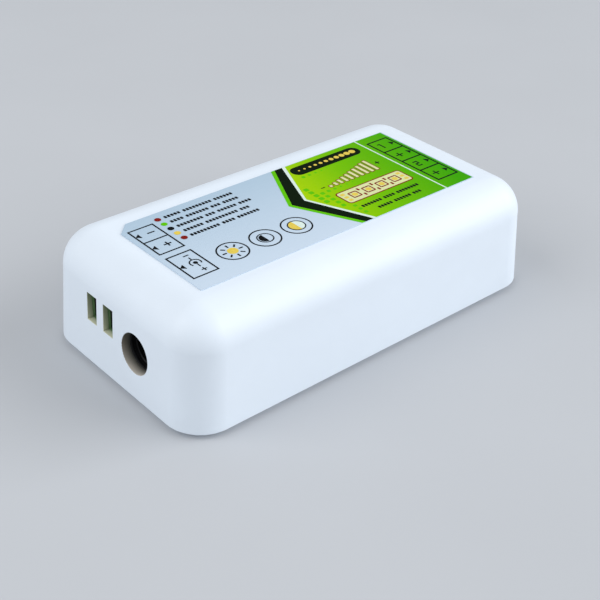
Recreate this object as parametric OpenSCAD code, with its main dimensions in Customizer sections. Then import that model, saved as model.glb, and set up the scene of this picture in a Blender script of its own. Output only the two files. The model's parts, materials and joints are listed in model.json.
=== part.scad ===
// LED strip controller: a moulded case with its circuit board hung under the roof.
// Power enters at the -X end, through a round jack or a two-way screw terminal.
// The lamp wires leave at the +X end, through a four-way screw terminal.
// The origin is the centre of the underside. +X runs along the case, and +Z is up.
// Each terminal screw turns in place and lifts a clamp that grips the wire.

/* [Case] */
// Length of the case
case_l = 85; // [80:1:120]
// Width of the case
case_w = 45; // [43:1:70]
// Height of the case with its label
case_h = 23; // [22:0.5:35]
// Wall thickness of the shell
wall_t = 2; // [1.6:0.1:2.6]
// Radius of the shell's corners and of its top edge
edge_r = 7.2; // [5:0.2:8.4]
// Draft of the side walls, in degrees
draft_deg = 3.25; // [0:0.25:4]
// Height at which the shell's rim stands above the table
rim_h = 1; // [0.6:0.1:1.4]
// Wall left in front of a screw terminal
slot_wall = 1.1; // [0.8:0.1:1.4]

/* [Label] */
// Thickness of the label
label_t = 0.2; // [0.1:0.05:0.4]
// Bare border between the label and the rounded edge
label_margin = 1.6; // [1:0.1:4]
// How far the label sits off centre, towards the power end and the front
label_shift = 0.4; // [0:0.1:1]
// Corner cut off the label
label_cut = 2.5; // [1:0.5:5]

/* [Base plate] */
// Thickness of the base plate
base_t = 1.6; // [1.5:0.1:2.4]
// Step back from the shell's rim to the edge of the plate
base_inset = 1.1; // [0.8:0.1:1.4]
// Gap between the plate's lip and the shell
base_gap = 0.15; // [0.05:0.05:0.3]
// Thickness of the lip
lip_t = 1.2; // [0.8:0.1:1.6]
// Height of the lip above the plate
lip_h = 1.6; // [1:0.1:2.4]
// Width of a snap hook
hook_w = 5; // [3:0.5:8]
// Height of a snap hook above the plate
hook_h = 4.8; // [4.2:0.1:6]
// How far a hook's barb reaches into the shell
barb_out = 0.7; // [0.4:0.1:0.8]
// Radius of a screwdriver hole
driver_hole_r = 2; // [1.9:0.05:2.2]

/* [Circuit board] */
// Thickness of the circuit board
board_t = 1.6; // [1:0.2:2]
// Gap between the board's edge and the shell
board_gap = 0.5; // [0.3:0.1:1]
// Length of the posts between the roof and the board
post_h = 2.8; // [2.4:0.1:3.6]
// Radius of a post
post_r = 2.2; // [1.8:0.1:2.6]
// Radius of a board screw's shank
board_screw_r = 0.9; // [0.8:0.05:1.1]
// Radius of a board screw's head
board_screw_head_r = 1.9; // [1.6:0.1:2.2]
// Height of a board screw's head
board_screw_head_h = 1.3; // [1:0.1:1.6]

/* [Screw terminals] */
// Distance from one wire to the next
way_pitch = 5; // [4.9:0.02:5.3]
// Depth of a terminal housing
terminal_d = 8; // [7.8:0.1:9]
// Width of the wire slot in the shell
slot_w = 2.83; // [2.4:0.05:3.2]
// Height of the wire slot in the shell
slot_h = 5.4; // [4:0.1:6.2]
// Clear height for the wire in an open clamp
wire_gap = 2.2; // [1.8:0.1:2.6]
// Outer width of a clamp
clamp_w = 3.8; // [3.6:0.1:4]
// Depth of a clamp along the wire
clamp_d = 3.6; // [3.4:0.1:3.8]
// Thickness of a clamp's sides and floor
clamp_t = 0.5; // [0.4:0.05:0.6]
// Thickness of a clamp's threaded plate
nut_t = 1; // [0.8:0.1:1.4]
// Thickness of the bar that the wire is pressed against
bar_t = 0.6; // [0.5:0.05:0.8]
// Radius of a terminal screw's shank
screw_r = 1.25; // [1:0.05:1.3]
// Radius of a terminal screw's head
screw_head_r = 1.75; // [1.7:0.05:1.8]
// Height of a terminal screw's head
screw_head_h = 1.2; // [1:0.1:1.5]

/* [Power jack] */
// Width of the jack
jack_w = 9; // [8.8:0.1:9.4]
// Thickness of the jack's wall between its bore and its underside
jack_wall_t = 1.35; // [1:0.05:1.8]
// Length of the jack
jack_l = 14.2; // [13.6:0.1:15]
// Height of the jack's axis off the board
jack_axis_h = 6.5; // [6.4:0.1:6.8]
// Radius of the jack's bore
jack_bore_r = 3.15; // [3:0.05:3.3]
// Depth of the jack's bore
jack_bore_l = 9.5; // [9:0.1:10]
// Radius of the jack's centre pin
jack_pin_r = 1; // [0.8:0.05:1.25]
// Radius of the shell's hole for the plug
plug_hole_r = 3.8; // [3.5:0.1:4.2]
// Distance from the case's middle line to the middle of the power terminal
power_y = 4.75; // [4.2:0.05:5]
// Gap between the jack and the power terminal
jack_side_gap = 1; // [0.6:0.1:1.2]

/* [Hidden] */
// Number of wires in each terminal
power_ways = 2;
output_ways = 4;
$fn = 48;

// Overrun of every cut past the surface that it opens
cut = 0.5;
// Gap around a pin or a screw in its hole
pin_gap = 0.1;
// Gap between a component housing and the pocket in the shell's wall
seat_gap = 0.1;
// Segments in a quarter of the shell's outline, outside and inside
outer_steps = 10;
inner_steps = 6;
// Radius that is left at the corners of the flat top
top_corner_r = 0.3;

// Height of the shell, and the height where its sides start to round over
shell_h = case_h - label_t;
fillet_z = shell_h - edge_r;
inner_r = edge_r - wall_t;
roof_z = shell_h - wall_t;
board_top_z = roof_z - post_h;
face_z = board_top_z - board_t;

// How far the drafted wall has leaned inwards at a height
function lean(z) = tan(draft_deg) * (z - rim_h);
// The same, with the top edge's rounding of radius r
function inset(z, r) =
    lean(min(z, fillet_z)) + r - sqrt(r * r - pow(max(z - fillet_z, 0), 2));

// Corner of the flat top, where the case's rounding is centred
top_x = case_l / 2 - lean(fillet_z) - edge_r;
top_y = case_w / 2 - lean(fillet_z) - edge_r;

// Posts stand clear of whichever reaches further across, a terminal or the jack
post_side_gap = 1;
post_x = top_x;
post_y = post_side_gap + board_screw_head_r + max(
    output_ways * way_pitch / 2,
    power_y + power_ways * way_pitch / 2,
    jack_w + jack_side_gap + power_ways * way_pitch / 2 - power_y
);

// Board outline, which follows the inside of the shell at the board's top
board_inset = wall_t + inset(board_top_z, inner_r) + board_gap;
board_l = case_l - 2 * board_inset;
board_w = case_w - 2 * board_inset;
board_r = inner_r - board_gap;
board_hole_r = board_screw_r + 2 * pin_gap;
// Length of a board screw above the board's face, and thread play in its post
board_screw_l = board_t + post_h;
thread_gap = 0.05;

// Heights inside a terminal, measured off the board
way_floor = 0.8;
clamp_gap = 0.1;
clamp_z = way_floor + clamp_gap;
wire_z = clamp_z + clamp_t;
bar_z = wire_z + wire_gap;
nut_z = bar_z + bar_t + clamp_gap;
clamp_h = nut_z + nut_t - clamp_z;
clamp_travel = wire_gap - clamp_gap;
chamber_top = nut_z + nut_t + clamp_travel + clamp_gap;
shelf_t = 0.6;
head_z = chamber_top + shelf_t;
head_recess = 0.7;
terminal_h = head_z + screw_head_h + head_recess;
screw_tip_z = bar_z + bar_t + 2 * clamp_gap;
slot_z = face_z - (way_floor + chamber_top) / 2;
// Driver slot in a terminal screw
driver_slot_w = 0.6;
driver_slot_d = 0.6;

// Depths inside a terminal, measured from its front face
mouth_gap = 0.1;
mouth_d = slot_wall;
chamber_d = clamp_d + 2 * clamp_gap;
way_x = mouth_d + chamber_d / 2;
bar_w = clamp_w - 2 * clamp_t - 4 * clamp_gap;
tail_t = 0.6;
tail_w = 1;
tail_x = mouth_d + chamber_d + tail_t;
// Length of a lead above the board's top
lead_out = 1;
// Slope cut off the top front edge of a terminal
terminal_bevel = 1.2;

// Distance from the case's middle to each terminal's front face
terminal_x = case_l / 2 - lean(slot_z) - slot_wall;

// Jack: its place, and the distance from the case's middle to its front face
jack_z = face_z - jack_axis_h;
jack_h = jack_axis_h + jack_bore_r + jack_wall_t;
jack_y = power_y - power_ways * way_pitch / 2 - jack_side_gap - jack_w / 2;
jack_wall_x = case_l / 2 - lean(jack_z) - wall_t;
jack_x = jack_wall_x - seat_gap;
jack_flange_l = 3.4;
jack_rear_r = jack_w / 2 - 3 * pin_gap;
jack_mouth_r = jack_bore_r + 2 * pin_gap;
jack_mouth_l = 0.6;
// Centre pin, set back from the front face, its thinner root and its tail behind the jack
jack_pin_setback = 0.9;
jack_root_r = jack_pin_r - 2 * pin_gap;
jack_tail_t = 0.4;
jack_tail_w = 2.2;
// Spring leaf under the bore
leaf_t = 0.3;
leaf_w = 2;
leaf_l = 7;
leaf_gap = 0.05;
// Bump on the leaf, which reaches into the bore
leaf_bump_r = 1;
leaf_bump_x = 2;
leaf_bump_in = 0.55;
// Leg that the leaf bends from, and the wall behind it
leg_t = 0.4;
leg_back_t = 2.55;
leg_x = jack_l - leg_back_t - leg_t;
leaf_x = leg_x - leaf_gap - leaf_l;
// Fixed tongue between the leaf's tip and the bore
tongue_t = 0.3;
tongue_l = 1.2;
tongue_x = leaf_x - leaf_gap;
tongue_leg_y = 3.2;
leaf_z = jack_axis_h - jack_bore_r - leaf_t - tongue_t - 3 * leaf_gap;
tongue_z = leaf_z + leaf_t + leaf_gap;
spring_slot_w = leaf_w + 4 * pin_gap;

// Base plate: its foot, and the lip that centres it in the shell
lip_z = base_t + lip_h;
lip_inset = wall_t + lean(lip_z) + base_gap;
hook_z = base_t + hook_h;
hook_inset = wall_t + lean(hook_z) + base_gap;
hook_t = lip_t;
// Hooks stand at this share of the case's half length, on both sides
hook_share = 0.42;
hook_x = case_l / 2 * hook_share;
barb_h = 1.6;
barb_gap = 0.15;

// Places on the board, as shares of its half length and half width
mosfet_share = [0.6, 0.36];
mcu_share = [-0.06, 0.5];
regulator_share = [-0.36, -0.2];
can_share = [-0.5, 0.42];
crystal_share = [-0.06, 0.08];
diode_share = [-0.62, 0.8];
radio_share = [0.06, -0.58];
gate_share = [0.38, 0.3];
resistor_shares = [
    [0.3, 0.8], [0.4, 0.8], [0.5, 0.8], [0.3, 0.58], [-0.28, 0.86],
    [0.46, 0.04], [0.46, -0.1], [-0.28, -0.62], [-0.28, -0.78]
];
ceramic_shares = [[-0.3, 0.58], [-0.3, 0.44], [-0.5, -0.2], [0.24, 0.26], [-0.28, -0.46]];

// Power transistors: body, metal tab and leads
mosfet_l = 6.1;
mosfet_w = 6.5;
mosfet_h = 2.3;
mosfet_tab_w = 5.2;
mosfet_tab_out = 1.1;
mosfet_tab_t = 0.5;
mosfet_lead_w = 0.76;
mosfet_lead_l = 2.7;
mosfet_lead_pitch = 2.28;
mosfet_lead_z = 0.9;
// Small outline chips
mcu_l = 9.9;
mcu_w = 3.9;
mcu_h = 1.6;
mcu_legs = 8;
leg_pitch = 1.27;
chip_leg_w = 0.42;
chip_leg_t = 0.22;
chip_leg_out = 1.05;
chip_lift = 0.1;
regulator_l = 4.5;
regulator_w = 2.5;
regulator_h = 1.5;
regulator_leg_pitch = 1.5;
gate_l = 2.9;
gate_w = 1.3;
gate_h = 1;
gate_leg_pitch = 1.9;
// Electrolytic capacitor
can_r = 4;
can_h = 9.6;
can_neck = 0.3;
can_bead_h = 0.7;
bung_h = 1.2;
can_lead_r = 0.3;
can_lead_pitch = 3.5;
// Crystal in its metal can
crystal_l = 11;
crystal_w = 4.6;
crystal_h = 3.4;
crystal_rim_h = 0.4;
crystal_rim_out = 0.3;
crystal_lead_r = 0.22;
crystal_lead_pitch = 4.9;
// Diode
diode_l = 4.3;
diode_w = 2.6;
diode_h = 2.1;
diode_end_l = 0.35;
diode_end_w = 1.5;
diode_end_h = 1.2;
// Radio board on its header
radio_l = 18;
radio_w = 12;
radio_t = 0.8;
radio_chip_l = 4;
radio_chip_h = 0.8;
header_pins = 7;
header_pitch = 2.54;
header_h = 2.5;
header_w = 2.5;
header_pin_w = 0.5;
header_edge = 0.6;
antenna_t = 0.1;
antenna_w = 0.6;
antenna_reach = 3.2;
antenna_folds = 4;
antenna_edge = 0.8;
// Chip resistors and capacitors
chip_l = 2;
chip_w = 1.25;
chip_end_l = 0.35;
resistor_h = 0.5;
ceramic_h = 0.9;
// Gap between the crystal and the ceramic capacitor beside it
crystal_gap = 0.5;
// Solder joints on the board's top
joint_r = 0.95;
joint_h = 0.7;
joint_tip = 0.2;

// Points along a quarter circle
function arc(x, y, r, start, steps) =
    [for (i = [0:steps]) let (a = start + 90 * i / steps) [x + r * cos(a), y + r * sin(a)]];
// Outline of a rectangle with round corners, anticlockwise
function round_rect(l, w, r, steps) = concat(
    arc(l / 2 - r, w / 2 - r, r, 0, steps),
    arc(r - l / 2, w / 2 - r, r, 90, steps),
    arc(r - l / 2, r - w / 2, r, 180, steps),
    arc(l / 2 - r, r - w / 2, r, 270, steps)
);

// Flat plate with round corners
module plate(l, w, r, z, t) {
    translate([0, 0, z]) linear_extrude(t) polygon(round_rect(l, w, r, inner_steps));
}

// Solid box that leans in with the draft and rounds over at its top
module tub(l, w, r, foot_z, steps) {
    angles = [for (i = [0:steps]) 90 * i / steps];
    rings = concat(
        [[l - 2 * lean(foot_z), w - 2 * lean(foot_z), r, foot_z]],
        [for (a = angles) let (in = lean(fillet_z) + r * (1 - cos(a)))
            [l - 2 * in, w - 2 * in, top_corner_r + (r - top_corner_r) * cos(a),
             fillet_z + r * sin(a)]]
    );
    n = 4 * (steps + 1);
    last = len(rings) - 1;
    points = [for (q = rings, p = round_rect(q[0], q[1], q[2], steps)) [p[0], p[1], q[3]]];
    sides = [for (k = [0:last - 1], i = [0:n - 1]) let (j = (i + 1) % n, a = k * n, b = a + n)
        each [[a + i, b + i, b + j], [a + i, b + j, a + j]]];
    foot = [for (i = [0:n - 1]) i];
    top = [for (i = [n - 1:-1:0]) last * n + i];
    polyhedron(points, concat(sides, [foot, top]), convexity = 4);
}

// Four copies, one in each quarter
module quarters(x, y) {
    for (sx = [-1, 1], sy = [-1, 1]) translate([sx * x, sy * y, 0]) children();
}

// Frame of a piece on the board's face: local +Z points down, away from the board
module on_face(x = 0, y = 0) {
    translate([x, y, face_z]) mirror([0, 0, 1]) children();
}
module at_share(share) on_face(share[0] * board_l / 2, share[1] * board_w / 2) children();

// Frames of the terminals and the jack: local +X points into the case
module at_power_terminal() on_face(-terminal_x, power_y) children();
module at_output_terminal() rotate([0, 0, 180]) on_face(-terminal_x, 0) children();
module at_jack() on_face(-jack_x, jack_y) children();

function way_y(ways, i) = (i - (ways + 1) / 2) * way_pitch;
module each_way(ways) for (i = [1:ways]) translate([0, way_y(ways, i), 0]) children();

// Block from one corner, centred across Y
module block(x, l, w, z, h) translate([x, -w / 2, z]) cube([l, w, h]);
// Block centred on X and Y
module slab(l, w, z, h) translate([-l / 2, -w / 2, z]) cube([l, w, h]);
// Round rod along +X
module rod_x(x, l, r, z) translate([x, 0, z]) rotate([0, 90, 0]) cylinder(h = l, r = r);

module top_shell() {
    color("white") difference() {
        union() {
            difference() {
                tub(case_l, case_w, edge_r, rim_h, outer_steps);
                tub(case_l - 2 * wall_t, case_w - 2 * wall_t, inner_r, rim_h - cut, inner_steps);
            }
            quarters(post_x, post_y) translate([0, 0, board_top_z])
                cylinder(h = post_h + wall_t / 2, r = post_r);
        }
        quarters(post_x, post_y) translate([0, 0, board_top_z - cut])
            cylinder(h = cut + board_screw_l - board_t + cut, r = board_screw_r + thread_gap);
        terminal_pocket(power_ways, -1, power_y);
        terminal_pocket(output_ways, 1, 0);
        jack_pocket();
        for (side = [-1, 1], x = [-hook_x, hook_x]) hook_recess(x, side);
    }
}

// Pocket behind an end wall for a terminal, with the wire slots through the wall
module terminal_pocket(ways, end, y) {
    outer = case_l / 2 + cut;
    pocket_w = ways * way_pitch + 2 * seat_gap;
    pocket_x = terminal_x + seat_gap;
    pocket_top = face_z + seat_gap;
    scale([end, 1, 1]) translate([0, y, 0]) {
        block(pocket_x - terminal_d, terminal_d, pocket_w, rim_h - cut, pocket_top - rim_h + cut);
        for (i = [1:ways]) translate([0, way_y(ways, i), 0])
            block(pocket_x - cut, outer - pocket_x + cut, slot_w, slot_z - slot_h / 2, slot_h);
    }
}

// Flat seat behind the wall for the jack, with the plug's hole through the wall
module jack_pocket() {
    pocket_w = jack_w + 2 * seat_gap;
    pocket_top = face_z + seat_gap;
    translate([0, jack_y, 0]) {
        block(-jack_wall_x, jack_l, pocket_w, rim_h - cut, pocket_top - rim_h + cut);
        rod_x(-case_l / 2 - cut, wall_t + lean(jack_z) + 2 * cut, plug_hole_r, jack_z);
    }
}

// Recess in a side wall that a snap hook's barb clicks into
module hook_recess(x, side) {
    l = hook_w + 4 * barb_gap;
    reach = barb_out + barb_gap;
    y = case_w / 2 - hook_inset;
    scale([1, side, 1]) translate([x - l / 2, y - cut, hook_z - barb_h - barb_gap])
        cube([l, reach + cut, barb_h + 2 * barb_gap]);
}

module base_plate() {
    foot_l = case_l - 2 * base_inset;
    foot_w = case_w - 2 * base_inset;
    lip_l = case_l - 2 * lip_inset;
    lip_w = case_w - 2 * lip_inset;
    lip_r = edge_r - lip_inset;
    color("whitesmoke") difference() {
        union() {
            plate(foot_l, foot_w, edge_r - base_inset, 0, rim_h);
            plate(lip_l, lip_w, lip_r, rim_h, lip_z - rim_h);
            for (side = [-1, 1], x = [-hook_x, hook_x]) snap_hook(x, side);
        }
        plate(lip_l - 2 * lip_t, lip_w - 2 * lip_t, lip_r - lip_t, base_t, lip_h + cut);
        translate([-terminal_x + way_x, power_y, 0]) each_way(power_ways) driver_hole();
        translate([terminal_x - way_x, 0, 0]) each_way(output_ways) driver_hole();
        at_power_terminal() room(terminal_d, power_ways * way_pitch, terminal_h);
        at_output_terminal() room(terminal_d, output_ways * way_pitch, terminal_h);
        at_jack() room(jack_l, jack_w, jack_h);
    }
}
// Room for a block of the board's face, which keeps a low case clear of it
module room(l, w, h) block(-seat_gap, l + 2 * seat_gap, w + 2 * seat_gap, 0, h + seat_gap);

// Hook that stands on the lip's inner half, with a barb outwards at its top
module snap_hook(x, side) {
    y = case_w / 2 - hook_inset;
    profile = [
        [y - hook_t, base_t], [y, base_t], [y, hook_z - barb_h],
        [y + barb_out, hook_z - barb_h + barb_out / 2], [y + barb_out, hook_z - barb_out],
        [y, hook_z], [y - hook_t, hook_z]
    ];
    scale([1, side, 1]) translate([x - hook_w / 2, 0, 0])
        rotate([90, 0, 90]) linear_extrude(hook_w) polygon(profile);
}

// Hole that opens under a terminal screw, with a wider notch where it passes the lip
module driver_hole() {
    translate([0, 0, -cut]) cylinder(h = base_t + 2 * cut, r = driver_hole_r);
    translate([0, 0, base_t]) cylinder(h = lip_h + cut, r = driver_hole_r + 2 * pin_gap);
}

module label_sticker() {
    l = 2 * (top_x - label_margin);
    w = 2 * (top_y - label_margin);
    outline = [
        [-l / 2, -w / 2], [l / 2, -w / 2], [l / 2, w / 2], [-l / 2 + label_cut, w / 2],
        [-l / 2, w / 2 - label_cut]
    ];
    color("lightsteelblue") translate([-label_shift, -label_shift, shell_h])
        linear_extrude(label_t) polygon(outline);
}

module circuit_board() {
    color("darkgreen") difference() {
        plate(board_l, board_w, board_r, face_z, board_t);
        quarters(post_x, post_y) board_hole(board_hole_r);
        at_power_terminal() each_way(power_ways) tail_hole();
        at_output_terminal() each_way(output_ways) tail_hole();
        at_jack() each_jack_lead() lead_hole(jack_hole_r);
        at_share(can_share) each_can_lead() lead_hole(can_lead_r + pin_gap);
        at_share(crystal_share) each_crystal_lead() lead_hole(crystal_lead_r + pin_gap);
        at_share(radio_share) each_header_pin() lead_hole(header_pin_w + pin_gap);
    }
}
module board_hole(r) translate([0, 0, face_z - cut]) cylinder(h = board_t + 2 * cut, r = r);
module lead_hole(r) translate([0, 0, -board_t - cut]) cylinder(h = board_t + 2 * cut, r = r);

// Radius that clears a terminal's tail in the board, and its place behind the clamp
tail_hole_r = norm([tail_w, tail_t]) / 2 + pin_gap;
module at_tail() translate([tail_x + tail_t / 2, 0, 0]) children();
module tail_hole() at_tail() lead_hole(tail_hole_r);

module board_screws() {
    color("silver") quarters(post_x, post_y) translate([0, 0, face_z]) difference() {
        union() {
            translate([0, 0, -board_screw_head_h])
                cylinder(h = board_screw_head_h, r = board_screw_head_r);
            cylinder(h = board_screw_l, r = board_screw_r);
        }
        translate([0, 0, -board_screw_head_h]) cross_recess(board_screw_head_r);
    }
}

// Two crossed slots in a screw head, open at z = 0
module cross_recess(head_r) {
    for (turn = [0, 90]) rotate([0, 0, turn])
        slab(head_r * cross_share, driver_slot_w, -cut, cut + driver_slot_d);
}
// Length of a cross recess, as a share of the head's radius
cross_share = 1.3;

// Terminal block with one chamber for each wire
module terminal_housing(ways) {
    w = ways * way_pitch;
    profile = [
        [0, 0], [terminal_d, 0], [terminal_d, terminal_h - terminal_bevel],
        [terminal_d - terminal_bevel, terminal_h], [0, terminal_h]
    ];
    color("limegreen") difference() {
        translate([0, w / 2, 0]) rotate([90, 0, 0]) linear_extrude(w) polygon(profile);
        each_way(ways) way_hollow();
    }
}

// The wire's mouth, the clamp's chamber, the tail's slot and the screw's well
module way_hollow() {
    mouth_h = slot_h + 2 * mouth_gap;
    mouth_z = face_z - slot_z - mouth_h / 2;
    chamber_w = clamp_w + 2 * clamp_gap;
    well_r = screw_head_r + clamp_gap;
    slot_top = bar_z + bar_t + clamp_gap;
    block(-cut, mouth_d + 2 * cut, slot_w + 2 * mouth_gap, mouth_z, mouth_h);
    block(mouth_d, chamber_d, chamber_w, way_floor, chamber_top - way_floor);
    block(tail_x - tail_t, 2 * tail_t + clamp_gap, bar_w + 2 * clamp_gap, -cut, slot_top + cut);
    translate([way_x, 0, chamber_top - cut]) cylinder(h = shelf_t + 2 * cut, r = screw_r + clamp_gap);
    translate([way_x, 0, head_z]) cylinder(h = terminal_h - head_z + cut, r = well_r);
}

module power_terminal_housing() at_power_terminal() terminal_housing(power_ways);
module output_terminal_housing() at_output_terminal() terminal_housing(output_ways);

// Bar through the clamp, bent into a tail that passes the board
module terminal_contact() {
    bar_l = tail_x + tail_t - mouth_d - clamp_gap;
    color("gold") {
        block(mouth_d + clamp_gap, bar_l, bar_w, bar_z, bar_t);
        block(tail_x, tail_t, tail_w, -board_t - lead_out, bar_z + board_t + lead_out);
    }
}
module power_terminal_contacts() at_power_terminal() each_way(power_ways) terminal_contact();
module output_terminal_contacts() at_output_terminal() each_way(output_ways) terminal_contact();

// Screw that turns in its well, head away from the board
module terminal_screw() {
    color("gainsboro") translate([way_x, 0, 0]) difference() {
        union() {
            translate([0, 0, screw_tip_z]) cylinder(h = head_z - screw_tip_z + cut, r = screw_r);
            translate([0, 0, head_z]) cylinder(h = screw_head_h, r = screw_head_r);
        }
        translate([0, 0, head_z + screw_head_h]) mirror([0, 0, 1]) cross_recess(screw_head_r);
    }
}
// Ring that the screw pulls towards its head
module wire_clamp() {
    color("silver") translate([way_x, 0, clamp_z]) difference() {
        slab(clamp_d, clamp_w, 0, clamp_h);
        slab(clamp_d + 2 * cut, clamp_w - 2 * clamp_t, clamp_t, clamp_h - nut_t - clamp_t);
        translate([0, 0, clamp_t]) cylinder(h = clamp_h, r = screw_r + thread_gap);
    }
}
module at_power_way(i) at_power_terminal() translate([0, way_y(power_ways, i), 0]) children();
module at_output_way(i) at_output_terminal() translate([0, way_y(output_ways, i), 0]) children();

// Jack body with its bore along local X, open under the spring
module jack_housing() {
    slot_h = jack_axis_h - jack_bore_r / 2;
    slot_x = leaf_x - tongue_l / 2;
    side_x = tongue_x - 2 * leaf_gap;
    side_l = tongue_l + 4 * leaf_gap;
    color("dimgray") at_jack() difference() {
        union() {
            block(0, jack_flange_l, jack_w, 0, jack_h);
            block(0, jack_l, jack_w, 0, jack_axis_h);
            rod_x(0, jack_l, jack_rear_r, jack_axis_h);
        }
        rod_x(-cut, jack_bore_l + cut, jack_bore_r, jack_axis_h);
        rod_x(-cut, jack_mouth_l + cut, jack_mouth_r, jack_axis_h);
        rod_x(0, jack_l + cut, jack_root_r + pin_gap / 2, jack_axis_h);
        block(slot_x, leg_x + leg_t + leaf_gap - slot_x, spring_slot_w, -cut, slot_h + cut);
        translate([side_x, 0, -cut])
            cube([side_l, tongue_leg_y + leg_t + leaf_gap, cut + tongue_z + tongue_t + leaf_gap]);
    }
}
// Places where the jack's leads pass the board: pin, spring and switch
jack_lead_w = 1.4;
jack_hole_r = norm([jack_lead_w, leg_t]) / 2 + pin_gap;
module each_jack_lead() {
    translate([jack_l + jack_tail_t / 2 + seat_gap, 0, 0]) children();
    translate([leg_x + leg_t / 2, 0, 0]) children();
    translate([tongue_x + tongue_l / 2, tongue_leg_y + leg_t / 2, 0]) children();
}
lead_l = board_t + lead_out;

// Centre pin, with a tail behind the jack that drops to the board
module jack_centre_pin() {
    tail_top = jack_axis_h + jack_pin_r;
    tail_x = jack_l + seat_gap;
    color("silver") at_jack() {
        rod_x(jack_pin_setback, jack_bore_l - jack_pin_setback, jack_pin_r, jack_axis_h);
        rod_x(jack_bore_l, tail_x + jack_tail_t - jack_bore_l, jack_root_r, jack_axis_h);
        translate([tail_x, 0, 0]) {
            block(0, jack_tail_t, jack_tail_w, 0, tail_top);
            block(0, jack_tail_t, jack_lead_w, -lead_l, lead_l);
        }
    }
}

// Fixed half of the spring, whose leaf bends at its top
module jack_spring_leg() {
    color("gold") at_jack() {
        block(leg_x, leg_t, leaf_w, 0, leaf_z + leaf_t);
        block(leg_x, leg_t, jack_lead_w, -lead_l, lead_l);
    }
}

// Leaf that presses its bump on the side of a plug
module jack_spring_leaf() {
    bump_top = jack_axis_h - jack_bore_r + leaf_bump_in;
    color("gold") at_jack() {
        block(leaf_x, leaf_l, leaf_w, leaf_z, leaf_t);
        intersection() {
            translate([leaf_x + leaf_bump_x + leaf_bump_r, leaf_w / 2, bump_top - leaf_bump_r])
                rotate([90, 0, 0]) cylinder(h = leaf_w, r = leaf_bump_r);
            block(leaf_x + leaf_bump_x, 2 * leaf_bump_r, leaf_w, leaf_z + leaf_t, 2 * leaf_bump_r);
        }
    }
}

// Tongue that the leaf rests on until a plug lifts it off
module jack_switch_contact() {
    reach = tongue_leg_y + leg_t;
    color("gold") at_jack() translate([tongue_x, 0, 0]) {
        translate([0, 0, tongue_z]) cube([tongue_l, reach, tongue_t]);
        translate([0, tongue_leg_y, 0]) cube([tongue_l, leg_t, tongue_z]);
        translate([0, tongue_leg_y, -lead_l]) cube([tongue_l, leg_t, lead_l]);
    }
}

// The two power transistors stand side by side near the output terminal
module at_mosfet(side) at_share([mosfet_share[0], side * mosfet_share[1]]) children();
module mosfet_body() {
    color("dimgray") difference() {
        slab(mosfet_l, mosfet_w, 0, mosfet_h);
        slab(mosfet_l + 2 * cut, mosfet_tab_w, -cut, cut + mosfet_tab_t);
    }
}
module mosfet_1() at_mosfet(-1) mosfet_body();
module mosfet_2() at_mosfet(1) mosfet_body();
module mosfet_tabs() {
    lead_x = -mosfet_l / 2 - mosfet_lead_l;
    color("silver") for (side = [-1, 1]) at_mosfet(side) {
        block(-mosfet_l / 2, mosfet_l + mosfet_tab_out, mosfet_tab_w, 0, mosfet_tab_t);
        for (y = [-mosfet_lead_pitch, mosfet_lead_pitch]) translate([0, y, 0]) {
            block(lead_x, mosfet_lead_l, mosfet_lead_w, mosfet_lead_z, mosfet_tab_t);
            block(lead_x, mosfet_tab_t, mosfet_lead_w, 0, mosfet_lead_z);
        }
    }
}

// Gull-wing leg that leaves a chip's side at local y = 0
module chip_leg(lift) {
    mid = chip_leg_out / 2;
    t = chip_leg_t;
    profile = [
        [0, lift], [mid - t, lift], [mid - t, 0], [chip_leg_out, 0], [chip_leg_out, t],
        [mid, t], [mid, lift + t], [0, lift + t]
    ];
    translate([-chip_leg_w / 2, 0, 0]) rotate([90, 0, 90]) linear_extrude(chip_leg_w) polygon(profile);
}
// Rows of legs along both sides of a chip
module leg_rows(w, h, front, back, pitch) {
    for (row = [[1, front], [-1, back]]) scale([1, row[0], 1])
        for (i = [1:row[1]]) translate([(i - (row[1] + 1) / 2) * pitch, w / 2, 0])
            chip_leg(chip_lift + (h - chip_lift) / 2 - chip_leg_t / 2);
}

module microcontroller() {
    color("dimgray") at_share(mcu_share) difference() {
        slab(mcu_l, mcu_w, chip_lift, mcu_h - chip_lift);
        translate([-mcu_l / 2, 0, mcu_h - chip_leg_t]) cylinder(h = mcu_h, r = mcu_w / 8);
    }
}
module microcontroller_legs() {
    color("silver") at_share(mcu_share) leg_rows(mcu_w, mcu_h, mcu_legs, mcu_legs, leg_pitch);
}
module voltage_regulator() {
    color("dimgray") at_share(regulator_share)
        slab(regulator_l, regulator_w, chip_lift, regulator_h - chip_lift);
}
module regulator_legs() {
    color("silver") at_share(regulator_share)
        leg_rows(regulator_w, regulator_h, 3, 1, regulator_leg_pitch);
}
module at_gate(side) at_share([gate_share[0], side * gate_share[1]]) children();
module gate_transistors() {
    color("dimgray") for (side = [-1, 1]) at_gate(side)
        slab(gate_l, gate_w, chip_lift, gate_h - chip_lift);
}
module gate_transistor_legs() {
    color("silver") for (side = [-1, 1]) at_gate(side)
        leg_rows(gate_w, gate_h, 2, 1, gate_leg_pitch);
}

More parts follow.
